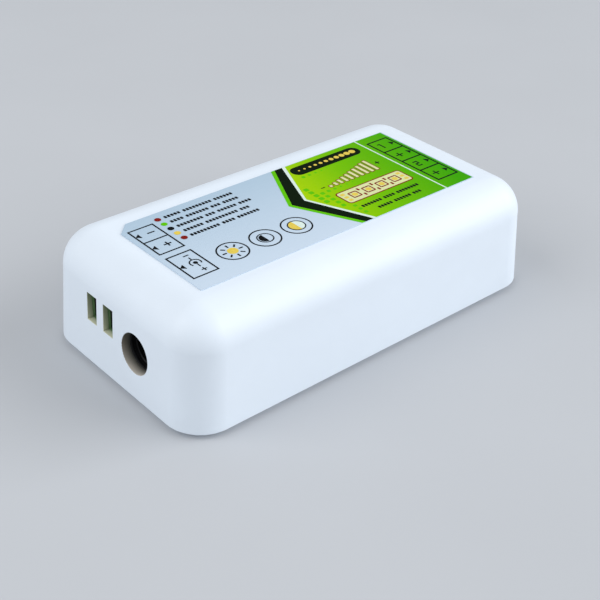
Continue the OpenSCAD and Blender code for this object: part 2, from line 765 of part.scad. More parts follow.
// Capacitor: a can with a rolled neck over a rubber bung
module each_can_lead() {
    for (side = [-1, 1]) translate([side * can_lead_pitch / 2, 0, 0]) children();
}
module capacitor_can() {
    inner = can_r - can_neck;
    bead_z = bung_h + can_bead_h;
    top = bung_h + can_h;
    color("lightgray") at_share(can_share) rotate_extrude() polygon([
        [0, bung_h], [can_r, bung_h], [inner, bead_z], [can_r, bead_z + can_bead_h],
        [can_r, top - can_neck], [inner, top], [0, top]
    ]);
}
module capacitor_bung() {
    color("dimgray") at_share(can_share) difference() {
        cylinder(h = bung_h, r = can_r - 2 * can_neck);
        each_can_lead() translate([0, 0, -cut]) cylinder(h = bung_h + 2 * cut, r = can_lead_r + pin_gap);
    }
}
module capacitor_leads() {
    color("silver") at_share(can_share) each_can_lead()
        translate([0, 0, -lead_l]) cylinder(h = lead_l + bung_h, r = can_lead_r);
}

module each_crystal_lead() {
    for (side = [-1, 1]) translate([side * crystal_lead_pitch / 2, 0, 0]) children();
}
module crystal_can() {
    rim_l = crystal_l + 2 * crystal_rim_out;
    rim_w = crystal_w + 2 * crystal_rim_out;
    color("lightgray") at_share(crystal_share) {
        plate(rim_l, rim_w, rim_w / 2 - crystal_rim_out, 0, crystal_rim_h);
        plate(crystal_l, crystal_w, crystal_w / 2 - crystal_rim_out, crystal_rim_h, crystal_h);
    }
}
module crystal_leads() {
    color("silver") at_share(crystal_share) each_crystal_lead()
        translate([0, 0, -lead_l]) cylinder(h = lead_l, r = crystal_lead_r);
}

module protection_diode() {
    color("dimgray") at_share(diode_share) slab(diode_l, diode_w, chip_lift, diode_h);
}
module diode_ends() {
    color("silver") at_share(diode_share) for (side = [-1, 1]) scale([side, 1, 1])
        block(diode_l / 2, diode_end_l, diode_end_w, 0, diode_end_h);
}

// Radio board, carried by a header along its front edge
module each_header_pin() {
    for (i = [1:header_pins])
        translate([(i - (header_pins + 1) / 2) * header_pitch, header_w / 2 + header_edge - radio_w / 2, 0])
            children();
}
module radio_board() {
    color("seagreen") at_share(radio_share) difference() {
        slab(radio_l, radio_w, header_h, radio_t);
        each_header_pin() translate([0, 0, header_h - cut])
            cylinder(h = radio_t + 2 * cut, r = header_pin_w + pin_gap);
    }
}
module radio_header() {
    gap = header_pin_w + pin_gap;
    color("dimgray") at_share(radio_share) difference() {
        translate([0, header_w / 2 + header_edge - radio_w / 2, 0])
            slab(header_pins * header_pitch, header_w, 0, header_h);
        each_header_pin() slab(gap, gap, -cut, header_h + 2 * cut);
    }
}
module radio_header_pins() {
    color("gold") at_share(radio_share) each_header_pin()
        slab(header_pin_w, header_pin_w, -lead_l, lead_l + header_h + radio_t + lead_out);
}
module radio_chip() {
    color("dimgray") at_share(radio_share) translate([-radio_l / 8, radio_w / 8, 0])
        slab(radio_chip_l, radio_chip_l, header_h + radio_t, radio_chip_h);
}
// Antenna: a strip that folds to and fro beside the radio board's end
module radio_antenna() {
    step = 2 * antenna_w;
    left = radio_l / 2 - antenna_edge - antenna_reach;
    color("gold") at_share(radio_share) translate([0, radio_w / 2 - antenna_edge, header_h + radio_t])
        for (i = [0:2 * antenna_folds - 1]) {
            translate([left, -i * step, 0]) translate([0, -antenna_w, 0])
                cube([antenna_reach, antenna_w, antenna_t]);
            if (i < 2 * antenna_folds - 1)
                translate([i % 2 == 0 ? left : left + antenna_reach - antenna_w, -(i + 1) * step, 0])
                    cube([antenna_w, step - antenna_w, antenna_t]);
        }
}

// Chip resistors and ceramic capacitors lie flat between two metal ends
module chip_body(h) slab(chip_l - 2 * chip_end_l, chip_w, 0, h);
module chip_end_pair(h) {
    for (side = [-1, 1]) scale([side, 1, 1]) block(chip_l / 2 - chip_end_l, chip_end_l, chip_w, 0, h);
}
module chip_resistors() {
    color("black") for (share = resistor_shares) at_share(share) chip_body(resistor_h);
}
module each_ceramic() {
    for (share = ceramic_shares) at_share(share) children();
    at_share(crystal_share)
        translate([-crystal_l / 2 - crystal_rim_out - crystal_gap - chip_l / 2, 0, 0]) children();
}
module chip_capacitors() {
    color("tan") each_ceramic() chip_body(ceramic_h);
}
module chip_ends() {
    color("silver") {
        for (share = resistor_shares) at_share(share) chip_end_pair(resistor_h);
        each_ceramic() chip_end_pair(ceramic_h);
    }
}

// Cone of solder around a lead, on the board's top
module joint(hole_r, r = joint_r) {
    translate([0, 0, -board_t - joint_h]) difference() {
        cylinder(h = joint_h, r1 = hole_r + joint_tip, r2 = max(r, hole_r + 2 * joint_tip));
        translate([0, 0, -cut]) cylinder(h = joint_h + 2 * cut, r = hole_r);
    }
}
module solder_joints() {
    color("silver") {
        at_power_terminal() each_way(power_ways) at_tail() joint(tail_hole_r);
        at_output_terminal() each_way(output_ways) at_tail() joint(tail_hole_r);
        at_jack() each_jack_lead() joint(jack_hole_r);
        at_share(can_share) each_can_lead() joint(can_lead_r + pin_gap);
        at_share(crystal_share) each_crystal_lead() joint(crystal_lead_r + pin_gap);
        at_share(radio_share) each_header_pin() joint(header_pin_w + pin_gap, header_pin_w + joint_tip);
    }
}

top_shell();
base_plate();
label_sticker();
circuit_board();
board_screws();
power_terminal_housing();
output_terminal_housing();
power_terminal_contacts();
output_terminal_contacts();
for (i = [1:power_ways]) {
    at_power_way(i) terminal_screw();
    at_power_way(i) wire_clamp();
}
for (i = [1:output_ways]) {
    at_output_way(i) terminal_screw();
    at_output_way(i) wire_clamp();
}
jack_housing();
jack_centre_pin();
jack_spring_leg();
jack_spring_leaf();
jack_switch_contact();
mosfet_1();
mosfet_2();
mosfet_tabs();
microcontroller();
microcontroller_legs();
voltage_regulator();
regulator_legs();
capacitor_can();
capacitor_bung();
capacitor_leads();
crystal_can();
crystal_leads();
protection_diode();
diode_ends();
gate_transistors();
gate_transistor_legs();
radio_board();
radio_chip();
radio_antenna();
radio_header();
radio_header_pins();
chip_resistors();
chip_capacitors();
chip_ends();
solder_joints();
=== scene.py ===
import json
import math
import bmesh
import bpy
from mathutils import Matrix, Vector

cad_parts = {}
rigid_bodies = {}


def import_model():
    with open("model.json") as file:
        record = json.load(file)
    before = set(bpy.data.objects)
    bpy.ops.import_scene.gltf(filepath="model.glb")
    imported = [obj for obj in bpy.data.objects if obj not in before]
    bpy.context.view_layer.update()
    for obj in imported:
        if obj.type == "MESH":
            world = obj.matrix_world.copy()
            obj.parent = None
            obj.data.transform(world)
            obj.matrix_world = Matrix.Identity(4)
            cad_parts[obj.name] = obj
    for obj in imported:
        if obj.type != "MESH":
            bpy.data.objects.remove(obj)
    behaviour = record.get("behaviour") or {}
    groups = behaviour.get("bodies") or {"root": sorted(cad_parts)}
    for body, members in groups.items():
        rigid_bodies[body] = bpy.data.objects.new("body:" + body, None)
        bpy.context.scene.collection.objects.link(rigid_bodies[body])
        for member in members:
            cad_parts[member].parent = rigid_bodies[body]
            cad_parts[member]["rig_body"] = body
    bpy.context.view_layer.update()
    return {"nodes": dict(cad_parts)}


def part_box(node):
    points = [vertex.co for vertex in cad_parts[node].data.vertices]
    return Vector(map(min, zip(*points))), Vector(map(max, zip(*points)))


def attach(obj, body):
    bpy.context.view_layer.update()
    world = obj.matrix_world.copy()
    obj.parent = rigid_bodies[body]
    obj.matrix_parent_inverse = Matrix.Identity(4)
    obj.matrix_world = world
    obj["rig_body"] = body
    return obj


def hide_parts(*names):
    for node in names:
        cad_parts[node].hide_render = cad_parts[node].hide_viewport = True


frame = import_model()

# Lengths are in metres; MM turns a drawing's millimetres into them.
MM = 0.001

# The shell, as the CAD part builds it
EDGE_R = 7.2 * MM
WALL_T = 2 * MM
DRAFT = math.radians(3.25)
TOP_CORNER_R = 0.3 * MM
SEAT_GAP = 0.1 * MM
POST_R = 2.2 * MM
POST_BORE_R = 0.95 * MM
WAY_PITCH = 5 * MM
SLOT_W = 2.83 * MM
SLOT_H = 5.4 * MM
SLOT_CENTRE_Z = 12.25 * MM
CHAMBER_W = 4 * MM
PLUG_HOLE_R = 3.8 * MM
JACK_AXIS_UP = 6.5 * MM
HOOK_X = 17.85 * MM
HOOK_L = 5.6 * MM
HOOK_REACH = 20.89 * MM
HOOK_DEPTH = 1.35 * MM
HOOK_LOW = 4.65 * MM
HOOK_HIGH = 6.55 * MM

# Each terminal's count of wires, and the end of the case where it sits
TERMINALS = {"power_terminal_housing": (2, -1), "output_terminal_housing": (4, 1)}

# Fineness of the meshes, the rounding of the shell's openings, and how far a cutter reaches too far
CORNER_STEPS = 24
HOLE_STEPS = 96
POST_STEPS = 48
BORE_STEPS = 32
SCREW_STEPS = 40
HOLE_ROUND = 0.14 * MM
CUT = 0.5 * MM

# Edges with a greater angle than these are rounded, on a small piece and on the shell's outside
BEVEL_ANGLE = math.radians(35)
OUTER_ANGLE = math.radians(40)

shell_low, shell_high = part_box("top_shell")
label_low, label_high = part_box("label_sticker")
board_low, board_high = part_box("circuit_board")
jack_low, jack_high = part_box("jack_housing")
RIM_H = shell_low.z
SHELL_L = shell_high.x - shell_low.x
SHELL_W = shell_high.y - shell_low.y
ROOF_Z = shell_high.z - WALL_T
FILLET_Z = shell_high.z - EDGE_R
FACE_Z = board_low.z
jack_z = FACE_Z - JACK_AXIS_UP
jack_y = (jack_low.y + jack_high.y) / 2


# Mesh helpers

def link(name, data):
    thing = bpy.data.objects.new(name, data)
    bpy.context.scene.collection.objects.link(thing)
    return thing


def from_bmesh(name, bm):
    bmesh.ops.recalc_face_normals(bm, faces=bm.faces)
    mesh = bpy.data.meshes.new(name)
    bm.to_mesh(mesh)
    bm.free()
    return link(name, mesh)


def settle(piece, body, slot, *nodes):
    """Registers a finished piece with the body that carries it, and hides the nodes that it stands for. Its
    finish, the slot, is not used.
    """
    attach(piece, body)
    if nodes:
        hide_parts(*nodes)


def paint(piece, *materials):
    piece.data.materials.clear()
    for material in materials:
        piece.data.materials.append(material)


def smooth(piece, sharp):
    """Smooth shading that keeps flat faces flat, and edges above an angle in degrees sharp."""
    piece.data.shade_smooth()
    if sharp:
        piece.data.set_sharp_from_angle(angle=math.radians(sharp))
    step = piece.modifiers.new("normals", "WEIGHTED_NORMAL")
    step.keep_sharp = True


def complete(piece, sharp, material, body, slot, *nodes):
    """Shades, paints and registers a piece."""
    smooth(piece, sharp)
    paint(piece, material)
    settle(piece, body, slot, *nodes)


def bevel(piece, width, segments=2, weighted=False):
    step = piece.modifiers.new("rounding", "BEVEL")
    step.width = width
    step.segments = segments
    step.limit_method = "WEIGHT" if weighted else "ANGLE"
    step.angle_limit = BEVEL_ANGLE
    step.miter_outer = "MITER_ARC"


def freeze(piece):
    """Turns a piece's modifiers into its mesh."""
    bpy.context.view_layer.update()
    depsgraph = bpy.context.evaluated_depsgraph_get()
    mesh = bpy.data.meshes.new_from_object(piece.evaluated_get(depsgraph))
    piece.modifiers.clear()
    piece.data = mesh


def carve(piece, cutters, operation="DIFFERENCE", finish=0):
    """Cuts pieces from another one, or adds them to it, and deletes them.

    New faces take the material with the given number.
    """
    for cutter in cutters:
        paint(cutter, *piece.data.materials)
        for face in cutter.data.polygons:
            face.material_index = finish
        step = piece.modifiers.new("carve", "BOOLEAN")
        step.object = cutter
        step.operation = operation
        step.solver = "EXACT"
    freeze(piece)
    for cutter in cutters:
        bpy.data.objects.remove(cutter)


def middle(low, high):
    """Middle of a box, seen from above."""
    return (low.x + high.x) / 2, (low.y + high.y) / 2


def block(low, high):
    bm = bmesh.new()
    centre = (Vector(low) + Vector(high)) / 2
    size = Vector(high) - Vector(low)
    bmesh.ops.create_cube(bm, size=1, matrix=Matrix.Translation(centre) @ Matrix.Diagonal((*size, 1)))
    return from_bmesh("block", bm)


def block_round(x, y, reach_x, reach_y, low_z, high_z):
    """Block with its middle over a point, by its reach to each side."""
    return block((x - reach_x, y - reach_y, low_z), (x + reach_x, y + reach_y, high_z))


def crossed_bars(x, y, face_z, reach, half_width, depth):
    """Cutters that sink a cross into a face that looks down."""
    return [block_round(x, y, reach_x, reach_y, face_z - CUT, face_z + depth)
            for reach_x, reach_y in ((reach, half_width), (half_width, reach))]


def rod(start, end, radius, steps):
    start, end = Vector(start), Vector(end)
    axis = end - start
    turn = axis.to_track_quat("Z", "Y").to_matrix().to_4x4()
    bm = bmesh.new()
    bmesh.ops.create_cone(bm, cap_ends=True, segments=steps, radius1=radius, radius2=radius,
                          depth=axis.length, matrix=Matrix.Translation((start + end) / 2) @ turn)
    return from_bmesh("rod", bm)


def arc(x, y, radius, start, sweep, steps):
    """Points along an arc, by the angle where it starts and its sweep, both in degrees."""
    angles = [math.radians(start + sweep * i / steps) for i in range(steps + 1)]
    return [(x + radius * math.cos(a), y + radius * math.sin(a)) for a in angles]


def circle(x, y, radius, steps):
    return arc(x, y, radius, 0, 360, steps)[:-1]


def rounded_loop(length, width, radius, steps):
    """Points of a rectangle with round corners, anticlockwise."""
    points = []
    for quarter, (side_x, side_y) in enumerate(((1, 1), (-1, 1), (-1, -1), (1, -1))):
        corner = side_x * (length / 2 - radius), side_y * (width / 2 - radius)
        points += arc(*corner, radius, 90 * quarter, 90, steps)
    return points


def raised(outline, z):
    return [(x, y, z) for x, y in outline]


def add_loft(bm, rings, closed=False):
    """Adds a solid through rings of points that all have the same count.

    It is capped at both ends, or, where it is closed, goes on from the last ring to the first.
    """
    loops = [[bm.verts.new(point) for point in ring] for ring in rings]
    count = len(loops[0])
    for lower, upper in zip(loops, loops[1:] + loops[:1] if closed else loops[1:]):
        for i in range(count):
            j = (i + 1) % count
            bm.faces.new((lower[i], lower[j], upper[j], upper[i]))
    if not closed:
        bm.faces.new(loops[0][::-1])
        bm.faces.new(loops[-1])


def loft(name, rings, closed=False):
    bm = bmesh.new()
    add_loft(bm, rings, closed)
    return from_bmesh(name, bm)


def profile_from(radius, z, *steps):
    """Points of a profile, by their millimetres from a radius and a height."""
    return [(radius + out * MM, z + up * MM) for out, up in steps]


def turned_rings(x, y, profile, steps):
    """Rings of a round solid from its (radius, height) pairs."""
    return [raised(circle(x, y, radius, steps), z) for radius, z in profile]


def thread_rings(x, y, radius, depth, pitch, low_z, high_z):
    """Rings of a right-hand screw thread, which fades out at both ends."""
    cuts = 6
    rows = round((high_z - low_z) / pitch * cuts)
    rings = []
    for row in range(rows + 1):
        z = low_z + (high_z - low_z) * row / rows
        fade = min(1, row / cuts, (rows - row) / cuts)
        ring = []
        for i in range(SCREW_STEPS):
            phase = (z / pitch - i / SCREW_STEPS) % 1
            reach = radius - depth + depth * fade * (1 - abs(2 * phase - 1))
            angle = 2 * math.pi * i / SCREW_STEPS
            ring.append((x + reach * math.cos(angle), y + reach * math.sin(angle), z))
        rings.append(ring)
    return rings


def islands(node):
    """Corners of the boxes round a CAD node's separate solids, in order of place."""
    bm = bmesh.new()
    bm.from_mesh(frame["nodes"][node].data)
    bmesh.ops.remove_doubles(bm, verts=bm.verts, dist=0.0005 * MM)
    left, boxes = set(bm.verts), []
    while left:
        heap = [left.pop()]
        spots = []
        while heap:
            vert = heap.pop()
            spots.append(vert.co.copy())
            near = {edge.other_vert(vert) for edge in vert.link_edges} & left
            left -= near
            heap.extend(near)
        boxes.append([Vector([pick(spot[k] for spot in spots) for k in range(3)]) for pick in (min, max)])
    bm.free()
    return sorted(boxes, key=lambda box: tuple(round(value / MM, 2) for value in box[0]))


# Materials

# Most of a noise's values lie between these two.
NOISE_RANGE = (0.3, 0.7)


def add_node(tree, kind, output, inputs, **settings):
    """Adds a node to a tree, links or sets its inputs, and gives one of its outputs."""
    node = tree.nodes.new("ShaderNode" + kind)
    for name, value in settings.items():
        setattr(node, name, value)
    for name, value in inputs.items():
        if isinstance(value, bpy.types.NodeSocket):
            tree.links.new(value, node.inputs[name])
        else:
            node.inputs[name].default_value = value
    return node.outputs[output]


class Tree:
    """A material's node tree, with a short call for each kind of node it needs."""

    def __init__(self, name):
        self.material = bpy.data.materials.new(name)
        self.material.use_nodes = True
        self.tree = self.material.node_tree
        self.shader = self.tree.nodes["Principled BSDF"]
        self.place = self.tree.nodes.new("ShaderNodeTexCoord").outputs["Object"]

    def set(self, **values):
        """Sets numbers on the shader's own sockets."""
        for name, value in values.items():
            self.shader.inputs[name.replace("_", " ")].default_value = value

    def join(self, output, name):
        self.tree.links.new(output, self.shader.inputs[name])

    def add(self, kind, output, inputs, **settings):
        return add_node(self.tree, kind, output, inputs, **settings)

    def noise(self, size, detail=3, roughness=0.55, stretch=None):
        """Noise whose features are about size across, in metres."""
        place = self.place
        if stretch:
            place = self.add("Mapping", "Vector", {"Vector": place, "Scale": stretch})
        inputs = {"Vector": place, "Scale": 1 / size, "Detail": detail, "Roughness": roughness}
        return self.add("TexNoise", "Fac", inputs)

    def stripes(self, size, direction):
        """Even waves along X, Y or Z, size from crest to crest."""
        inputs = {"Vector": self.place, "Scale": math.pi / 10 / size}
        return self.add("TexWave", "Fac", inputs, bands_direction=direction)

    def spread(self, value, low, high, to_low=0.0, to_high=1.0):
        """Maps low..high of a value to to_low..to_high, and holds it there outside."""
        inputs = {"Value": value, "From Min": low, "From Max": high, "To Min": to_low, "To Max": to_high}
        return self.add("MapRange", "Result", inputs)

    def math(self, operation, a, b=0.0):
        return self.add("Math", "Value", {0: a, 1: b}, operation=operation)

    def times(self, a, b):
        return self.math("MULTIPLY", a, b)

    def axis(self, name):
        return self.add("SeparateXYZ", name, {"Vector": self.place})

    def off_middle(self, name, middle_at=0.0):
        """Distance from a place along an axis."""
        return self.math("ABSOLUTE", self.math("SUBTRACT", self.axis(name), middle_at))

    def mix(self, share, first, second):
        """Mixes two colours, each a socket or three numbers."""
        inputs = {"Factor": share}
        for socket, colour in ((6, first), (7, second)):
            inputs[socket] = colour if isinstance(colour, bpy.types.NodeSocket) else (*colour, 1)
        return self.add("Mix", 2, inputs, data_type="RGBA")

    def colour(self, share, first, second):
        """Makes the base colour a mix of two."""
        self.join(self.mix(share, first, second), "Base Color")

    def cover(self, share, colour):
        """Lays a colour over the base colour so far."""
        self.colour(share, self.shader.inputs["Base Color"].links[0].from_socket, colour)

    def gloss(self, noise, low, high):
        """Makes the roughness follow a noise."""
        self.join(self.spread(noise, *NOISE_RANGE, low, high), "Roughness")

    def bump(self, height, distance, **after):
        """Dents the surface, or goes on from the bumps given as Normal."""
        bumps = self.add("Bump", "Normal", {"Height": height, "Distance": distance, **after})
        self.join(bumps, "Normal")
        return bumps


def shade(colour, factor):
    return tuple(min(1, part * factor) for part in colour)


SHELL_COLOUR = (0.75, 0.825, 0.91)
# Painted shade and light on the shell's inner walls: the inside is painted darker than the shell, the
# openings' walls paler low down and darker at the top, the slots greener inwards as painted green bounce
# light, the hole darker inwards as painted shade
INSIDE_PAINTED_SHADE_COLOUR = (0.33, 0.32, 0.26)
SLOT_LOW_PAINTED_LIGHT_COLOUR = (0.62, 0.65, 0.48)
SLOT_HIGH_PAINTED_SHADE_COLOUR = (0.25, 0.29, 0.16)
SLOT_DEEP_PAINTED_SHADE_COLOUR = (0.20, 0.32, 0.17)
HOLE_LOW_PAINTED_LIGHT_COLOUR = (0.57, 0.53, 0.47)
HOLE_HIGH_PAINTED_SHADE_COLOUR = (0.07, 0.045, 0.008)
HOLE_DEEP_PAINTED_SHADE_COLOUR = (0.05, 0.05, 0.045)
BASE_COLOUR = (0.70, 0.76, 0.82)
TERMINAL_COLOUR = (0.20, 0.38, 0.17)
# Painted shade inside the terminals' wire ways
WAY_PAINTED_SHADE_COLOUR = (0.006, 0.010, 0.005)
BLACK_COLOUR = (0.005, 0.005, 0.006)
EPOXY_COLOUR = (0.018, 0.018, 0.02)
FILM_BACK_COLOUR = (0.40, 0.53, 0.65)
FILM_FRONT_COLOUR = (0.55, 0.655, 0.77)
LIME_COLOUR = (0.36, 0.59, 0.002)
GREEN_COLOUR = (0.165, 0.485, 0.001)
DEEP_GREEN_COLOUR = (0.045, 0.345, 0.001)
SILK_COLOUR = (0.72, 0.74, 0.70)

# Where the painted light and shade on the openings' walls change: by height, by distance from the case's
# middle, by depth in the hole
SLOT_SHADE_Z = (10 * MM, 15 * MM)
SLOT_DEEP_SHADE_X = (40.8 * MM, 41.6 * MM)
SLOT_DEEP_SHADE_SHARE = 0.75
HOLE_SHADE_Z = (6.5 * MM, 12.5 * MM)
HOLE_SHADE_DEPTHS = (0.5 * MM, 2 * MM)
PAINTED_SHADE_SHARE = 0.85

# Where painted shade darkens the wires' ways, by distance from the case's middle
WAY_PAINTED_SHADE_X = (40.27 * MM, 40.41 * MM)


def moulded_plastic(name, colour, gloss, mottle=0.02, grain=0.2 * MM, grain_depth=0.003 * MM):
    """Moulded plastic: faint flow clouds, a fine grain and a little dust in the gloss."""
    tree = Tree(name)
    clouds = tree.noise(9 * MM, detail=4)
    flow = tree.noise(22 * MM, detail=2, stretch=(0.35, 1, 1.6))
    share = tree.spread(tree.times(clouds, flow), 0.12, 0.42)
    tree.colour(share, shade(colour, 1 - mottle), shade(colour, 1 + mottle / 2))
    dust = tree.spread(tree.noise(0.9 * MM, detail=5, roughness=0.7), 0.35, 0.75, *gloss)
    tree.join(dust, "Roughness")
    fine = tree.bump(tree.noise(grain, detail=2), grain_depth)
    tree.bump(tree.noise(14 * MM, detail=1), 0.03 * MM, Normal=fine)
    return tree


def plain_plastic(name, *look, **numbers):
    """Moulded plastic as it is, but for numbers set on its shader."""
    tree = moulded_plastic(name, *look)
    tree.set(**numbers)
    return tree.material


def shell_inside_painted_shade():
    """Unpolished inner walls, painted darker and warmer than the shell as painted shade. In the openings a
    painted light makes them paler low down, and a painted shade makes them darker at the top.

    The slots turn greener inwards, a painted green bounce light with painted shade. The plug's hole has a
    darker painted shade than they have, and darkens inwards too.
    """
    tree = moulded_plastic("shell_inside_painted_shade", INSIDE_PAINTED_SHADE_COLOUR, (0.5, 0.65), 0.05, grain_depth=0.006 * MM)
    # Painted light and shade: paler low in the openings, darker at the top, darker and greener deep in the
    # slots, darker deep in the hole; it covers most of the inner walls' own colour
    up = tree.axis("Z")
    slot_painted_light_shade = tree.mix(tree.spread(up, *SLOT_SHADE_Z), SLOT_LOW_PAINTED_LIGHT_COLOUR, SLOT_HIGH_PAINTED_SHADE_COLOUR)
    deep_painted_shade = tree.spread(tree.off_middle("X"), *SLOT_DEEP_SHADE_X, SLOT_DEEP_SHADE_SHARE, 0)
    slot_painted_light_shade = tree.mix(deep_painted_shade, slot_painted_light_shade, SLOT_DEEP_PAINTED_SHADE_COLOUR)
    hole_painted_light_shade = tree.mix(tree.spread(up, *HOLE_SHADE_Z), HOLE_LOW_PAINTED_LIGHT_COLOUR, HOLE_HIGH_PAINTED_SHADE_COLOUR)
    depth = tree.spread(tree.axis("X"), shell_low.x + HOLE_SHADE_DEPTHS[0], shell_low.x + HOLE_SHADE_DEPTHS[1])
    hole_painted_light_shade = tree.mix(depth, hole_painted_light_shade, HOLE_DEEP_PAINTED_SHADE_COLOUR)
    near_hole = tree.math("LESS_THAN", tree.off_middle("Y", jack_y), PLUG_HOLE_R + CUT)
    in_hole = tree.times(near_hole, tree.math("LESS_THAN", tree.axis("X"), 0))
    tree.cover(PAINTED_SHADE_SHARE, tree.mix(in_hole, slot_painted_light_shade, hole_painted_light_shade))
    return tree.material


def terminal_green(housing):
    """Glass-filled nylon: short pale fibres lie in the green. The wires' ways are painted dark inside, a
    painted shade.
    """
    tree = moulded_plastic(housing + "_green", TERMINAL_COLOUR, (0.3, 0.42), 0.08)
    fibres = tree.spread(tree.noise(0.25 * MM, detail=1, stretch=(0.15, 1, 1)), 0.68, 0.78)
    tree.cover(tree.times(fibres, 0.25), shade(TERMINAL_COLOUR, 2.2))
    # Painted shade: the inside of each wire's way is painted dark
    deep_painted_shade = tree.spread(tree.off_middle("X"), *WAY_PAINTED_SHADE_X, 1, 0)
    off_wall = tree.math("PINGPONG", tree.math("SUBTRACT", tree.axis("Y"), middle_y(housing)), WAY_PITCH / 2)
    in_way = tree.math("GREATER_THAN", off_wall, (WAY_PITCH - CHAMBER_W) / 2 - 0.05 * MM)
    at_height = tree.math("LESS_THAN", tree.off_middle("Z", SLOT_CENTRE_Z), SLOT_H / 2 + 0.3 * MM)
    tree.cover(tree.times(deep_painted_shade, tree.times(in_way, at_height)), WAY_PAINTED_SHADE_COLOUR)
    return tree.material


def black_plastic(name, gloss):
    return plain_plastic(name, BLACK_COLOUR, gloss, 0.25, 0.1 * MM, Specular_IOR_Level=0.18)


def epoxy(name, banded=False):
    """Chip epoxy: dull, with a fine sparkle of filler, and the pale band of a diode if asked for."""
    tree = moulded_plastic(name, EPOXY_COLOUR, (0.5, 0.7), 0.3, 0.06 * MM, 0.006 * MM)
    filler = tree.spread(tree.noise(0.05 * MM, detail=1), 0.66, 0.74)
    tree.cover(tree.times(filler, 0.12), SILK_COLOUR)
    if banded:
        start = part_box("protection_diode")[0].x
        after = tree.math("GREATER_THAN", tree.axis("X"), start + 0.35 * MM)
        before = tree.math("LESS_THAN", tree.axis("X"), start + 1.05 * MM)
        tree.cover(tree.times(after, before), SILK_COLOUR)
    return tree.material


def capacitor_sleeve(name):
    """Dark sleeve with a pale stripe down the capacitor's negative side, and dark dashes on the stripe."""
    tree = moulded_plastic(name, (0.02, 0.03, 0.07), (0.25, 0.35), 0.15)
    side = tree.math("LESS_THAN", tree.axis("X"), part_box("capacitor_can")[0].x + 0.75 * MM)
    dashes = tree.math("GREATER_THAN", tree.stripes(2.4 * MM, "Z"), 0.8)
    tree.cover(side, tree.mix(tree.times(dashes, 0.85), (0.55, 0.58, 0.60), (0.03, 0.04, 0.08)))
    return tree.material


def metal(name, colour, roughness, stretch=(1, 8, 8), grain=0.12 * MM, stain=0.15):
    """Stamped or plated metal: drawn streaks, faint stains and small dents."""
    tree = Tree(name)
    tree.set(Metallic=1.0)
    stains = tree.spread(tree.noise(1.6 * MM, detail=5, roughness=0.65), 0.35, 0.7)
    tree.colour(stains, colour, shade(colour, 1 - stain))
    streaks = tree.noise(grain, detail=2, stretch=stretch)
    tree.gloss(streaks, *roughness)
    tree.bump(streaks, 0.002 * MM)
    return tree.material


def solder_mask(name, colour):
    """Solder mask over glass cloth, whose weave shows faintly through."""
    tree = Tree(name)
    weave = tree.times(tree.stripes(0.5 * MM, "X"), tree.stripes(0.5 * MM, "Y"))
    cloth = tree.mix(tree.spread(weave, 0, 1, 0.0, 0.35), colour, shade(colour, 1.7))
    patches = tree.spread(tree.noise(4 * MM, detail=4), 0.35, 0.7)
    tree.colour(tree.times(patches, 0.3), cloth, shade(colour, 0.7))
    tree.gloss(tree.noise(1.2 * MM), 0.28, 0.42)
    tree.bump(weave, 0.004 * MM)
    tree.set(Coat_Weight=0.3, Coat_Roughness=0.2)
    return tree.material


def printed(name, colour):
    """Screen-printed ink: slightly uneven, with a satin face."""
    tree = Tree(name)
    patches = tree.spread(tree.noise(0.35 * MM, detail=4, roughness=0.7), *NOISE_RANGE)
    tree.colour(patches, shade(colour, 0.9), shade(colour, 1.1))
    tree.gloss(tree.noise(2 * MM), 0.3, 0.42)
    tree.set(Specular_IOR_Level=INK_GLOSS)
    return tree.material


# The shell

def lean(z):
    """How far the drafted wall has leaned in at a height."""
    return math.tan(DRAFT) * (z - RIM_H)


def tub(name, length, width, radius, foot_z, steps):
    """Solid box that leans in with the draft and rounds over at its top."""
    def ring(inset, corner, z):
        return raised(rounded_loop(length - 2 * inset, width - 2 * inset, corner, steps), z)

    rings = [ring(lean(foot_z), radius, foot_z)]
    for i in range(steps + 1):
        angle = math.radians(90 * i / steps)
        inset = lean(FILLET_Z) + radius * (1 - math.cos(angle))
        corner = TOP_CORNER_R + (radius - TOP_CORNER_R) * math.cos(angle)
        rings.append(ring(inset, corner, FILLET_Z + radius * math.sin(angle)))
    return loft(name, rings)


def span_x(end, near, far, y, half_y, low_z, high_z):
    """Block between two distances from the middle, towards one end."""
    xs = sorted((end * near, end * far))
    return block((xs[0], y - half_y, low_z), (xs[1], y + half_y, high_z))


def middle_y(node):
    return middle(*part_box(node))[1]


def way_places(housing):
    """Middle of each wire's way through a terminal, along Y."""
    ways = TERMINALS[housing][0]
    return [middle_y(housing) + (i - (ways - 1) / 2) * WAY_PITCH for i in range(ways)]


def terminal_cutters(housing):
    """Pocket for a terminal and its wire slots."""
    end = TERMINALS[housing][1]
    low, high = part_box(housing)
    front = (high.x if end > 0 else -low.x) + SEAT_GAP
    half_y = (high.y - low.y) / 2 + SEAT_GAP
    cutters = [span_x(end, front - (high.x - low.x), front, middle_y(housing), half_y,
                      RIM_H - CUT, high.z + SEAT_GAP)]
    for y in way_places(housing):
        cutters.append(span_x(end, front - CUT, SHELL_L / 2 + CUT, y, SLOT_W / 2,
                              SLOT_CENTRE_Z - SLOT_H / 2, SLOT_CENTRE_Z + SLOT_H / 2))
    return cutters


def jack_cutters():
    """Pocket for the jack, and the plug's hole."""
    back = SHELL_L / 2 - lean(jack_z) - WALL_T
    half_y = (jack_high.y - jack_low.y) / 2 + SEAT_GAP
    seat = span_x(-1, back - (jack_high.x - jack_low.x), back, jack_y, half_y, RIM_H - CUT, FACE_Z + SEAT_GAP)
    ends = [(x, jack_y, jack_z) for x in (-SHELL_L / 2 - CUT, -back + CUT)]
    return [seat, rod(*ends, PLUG_HOLE_R, HOLE_STEPS)]


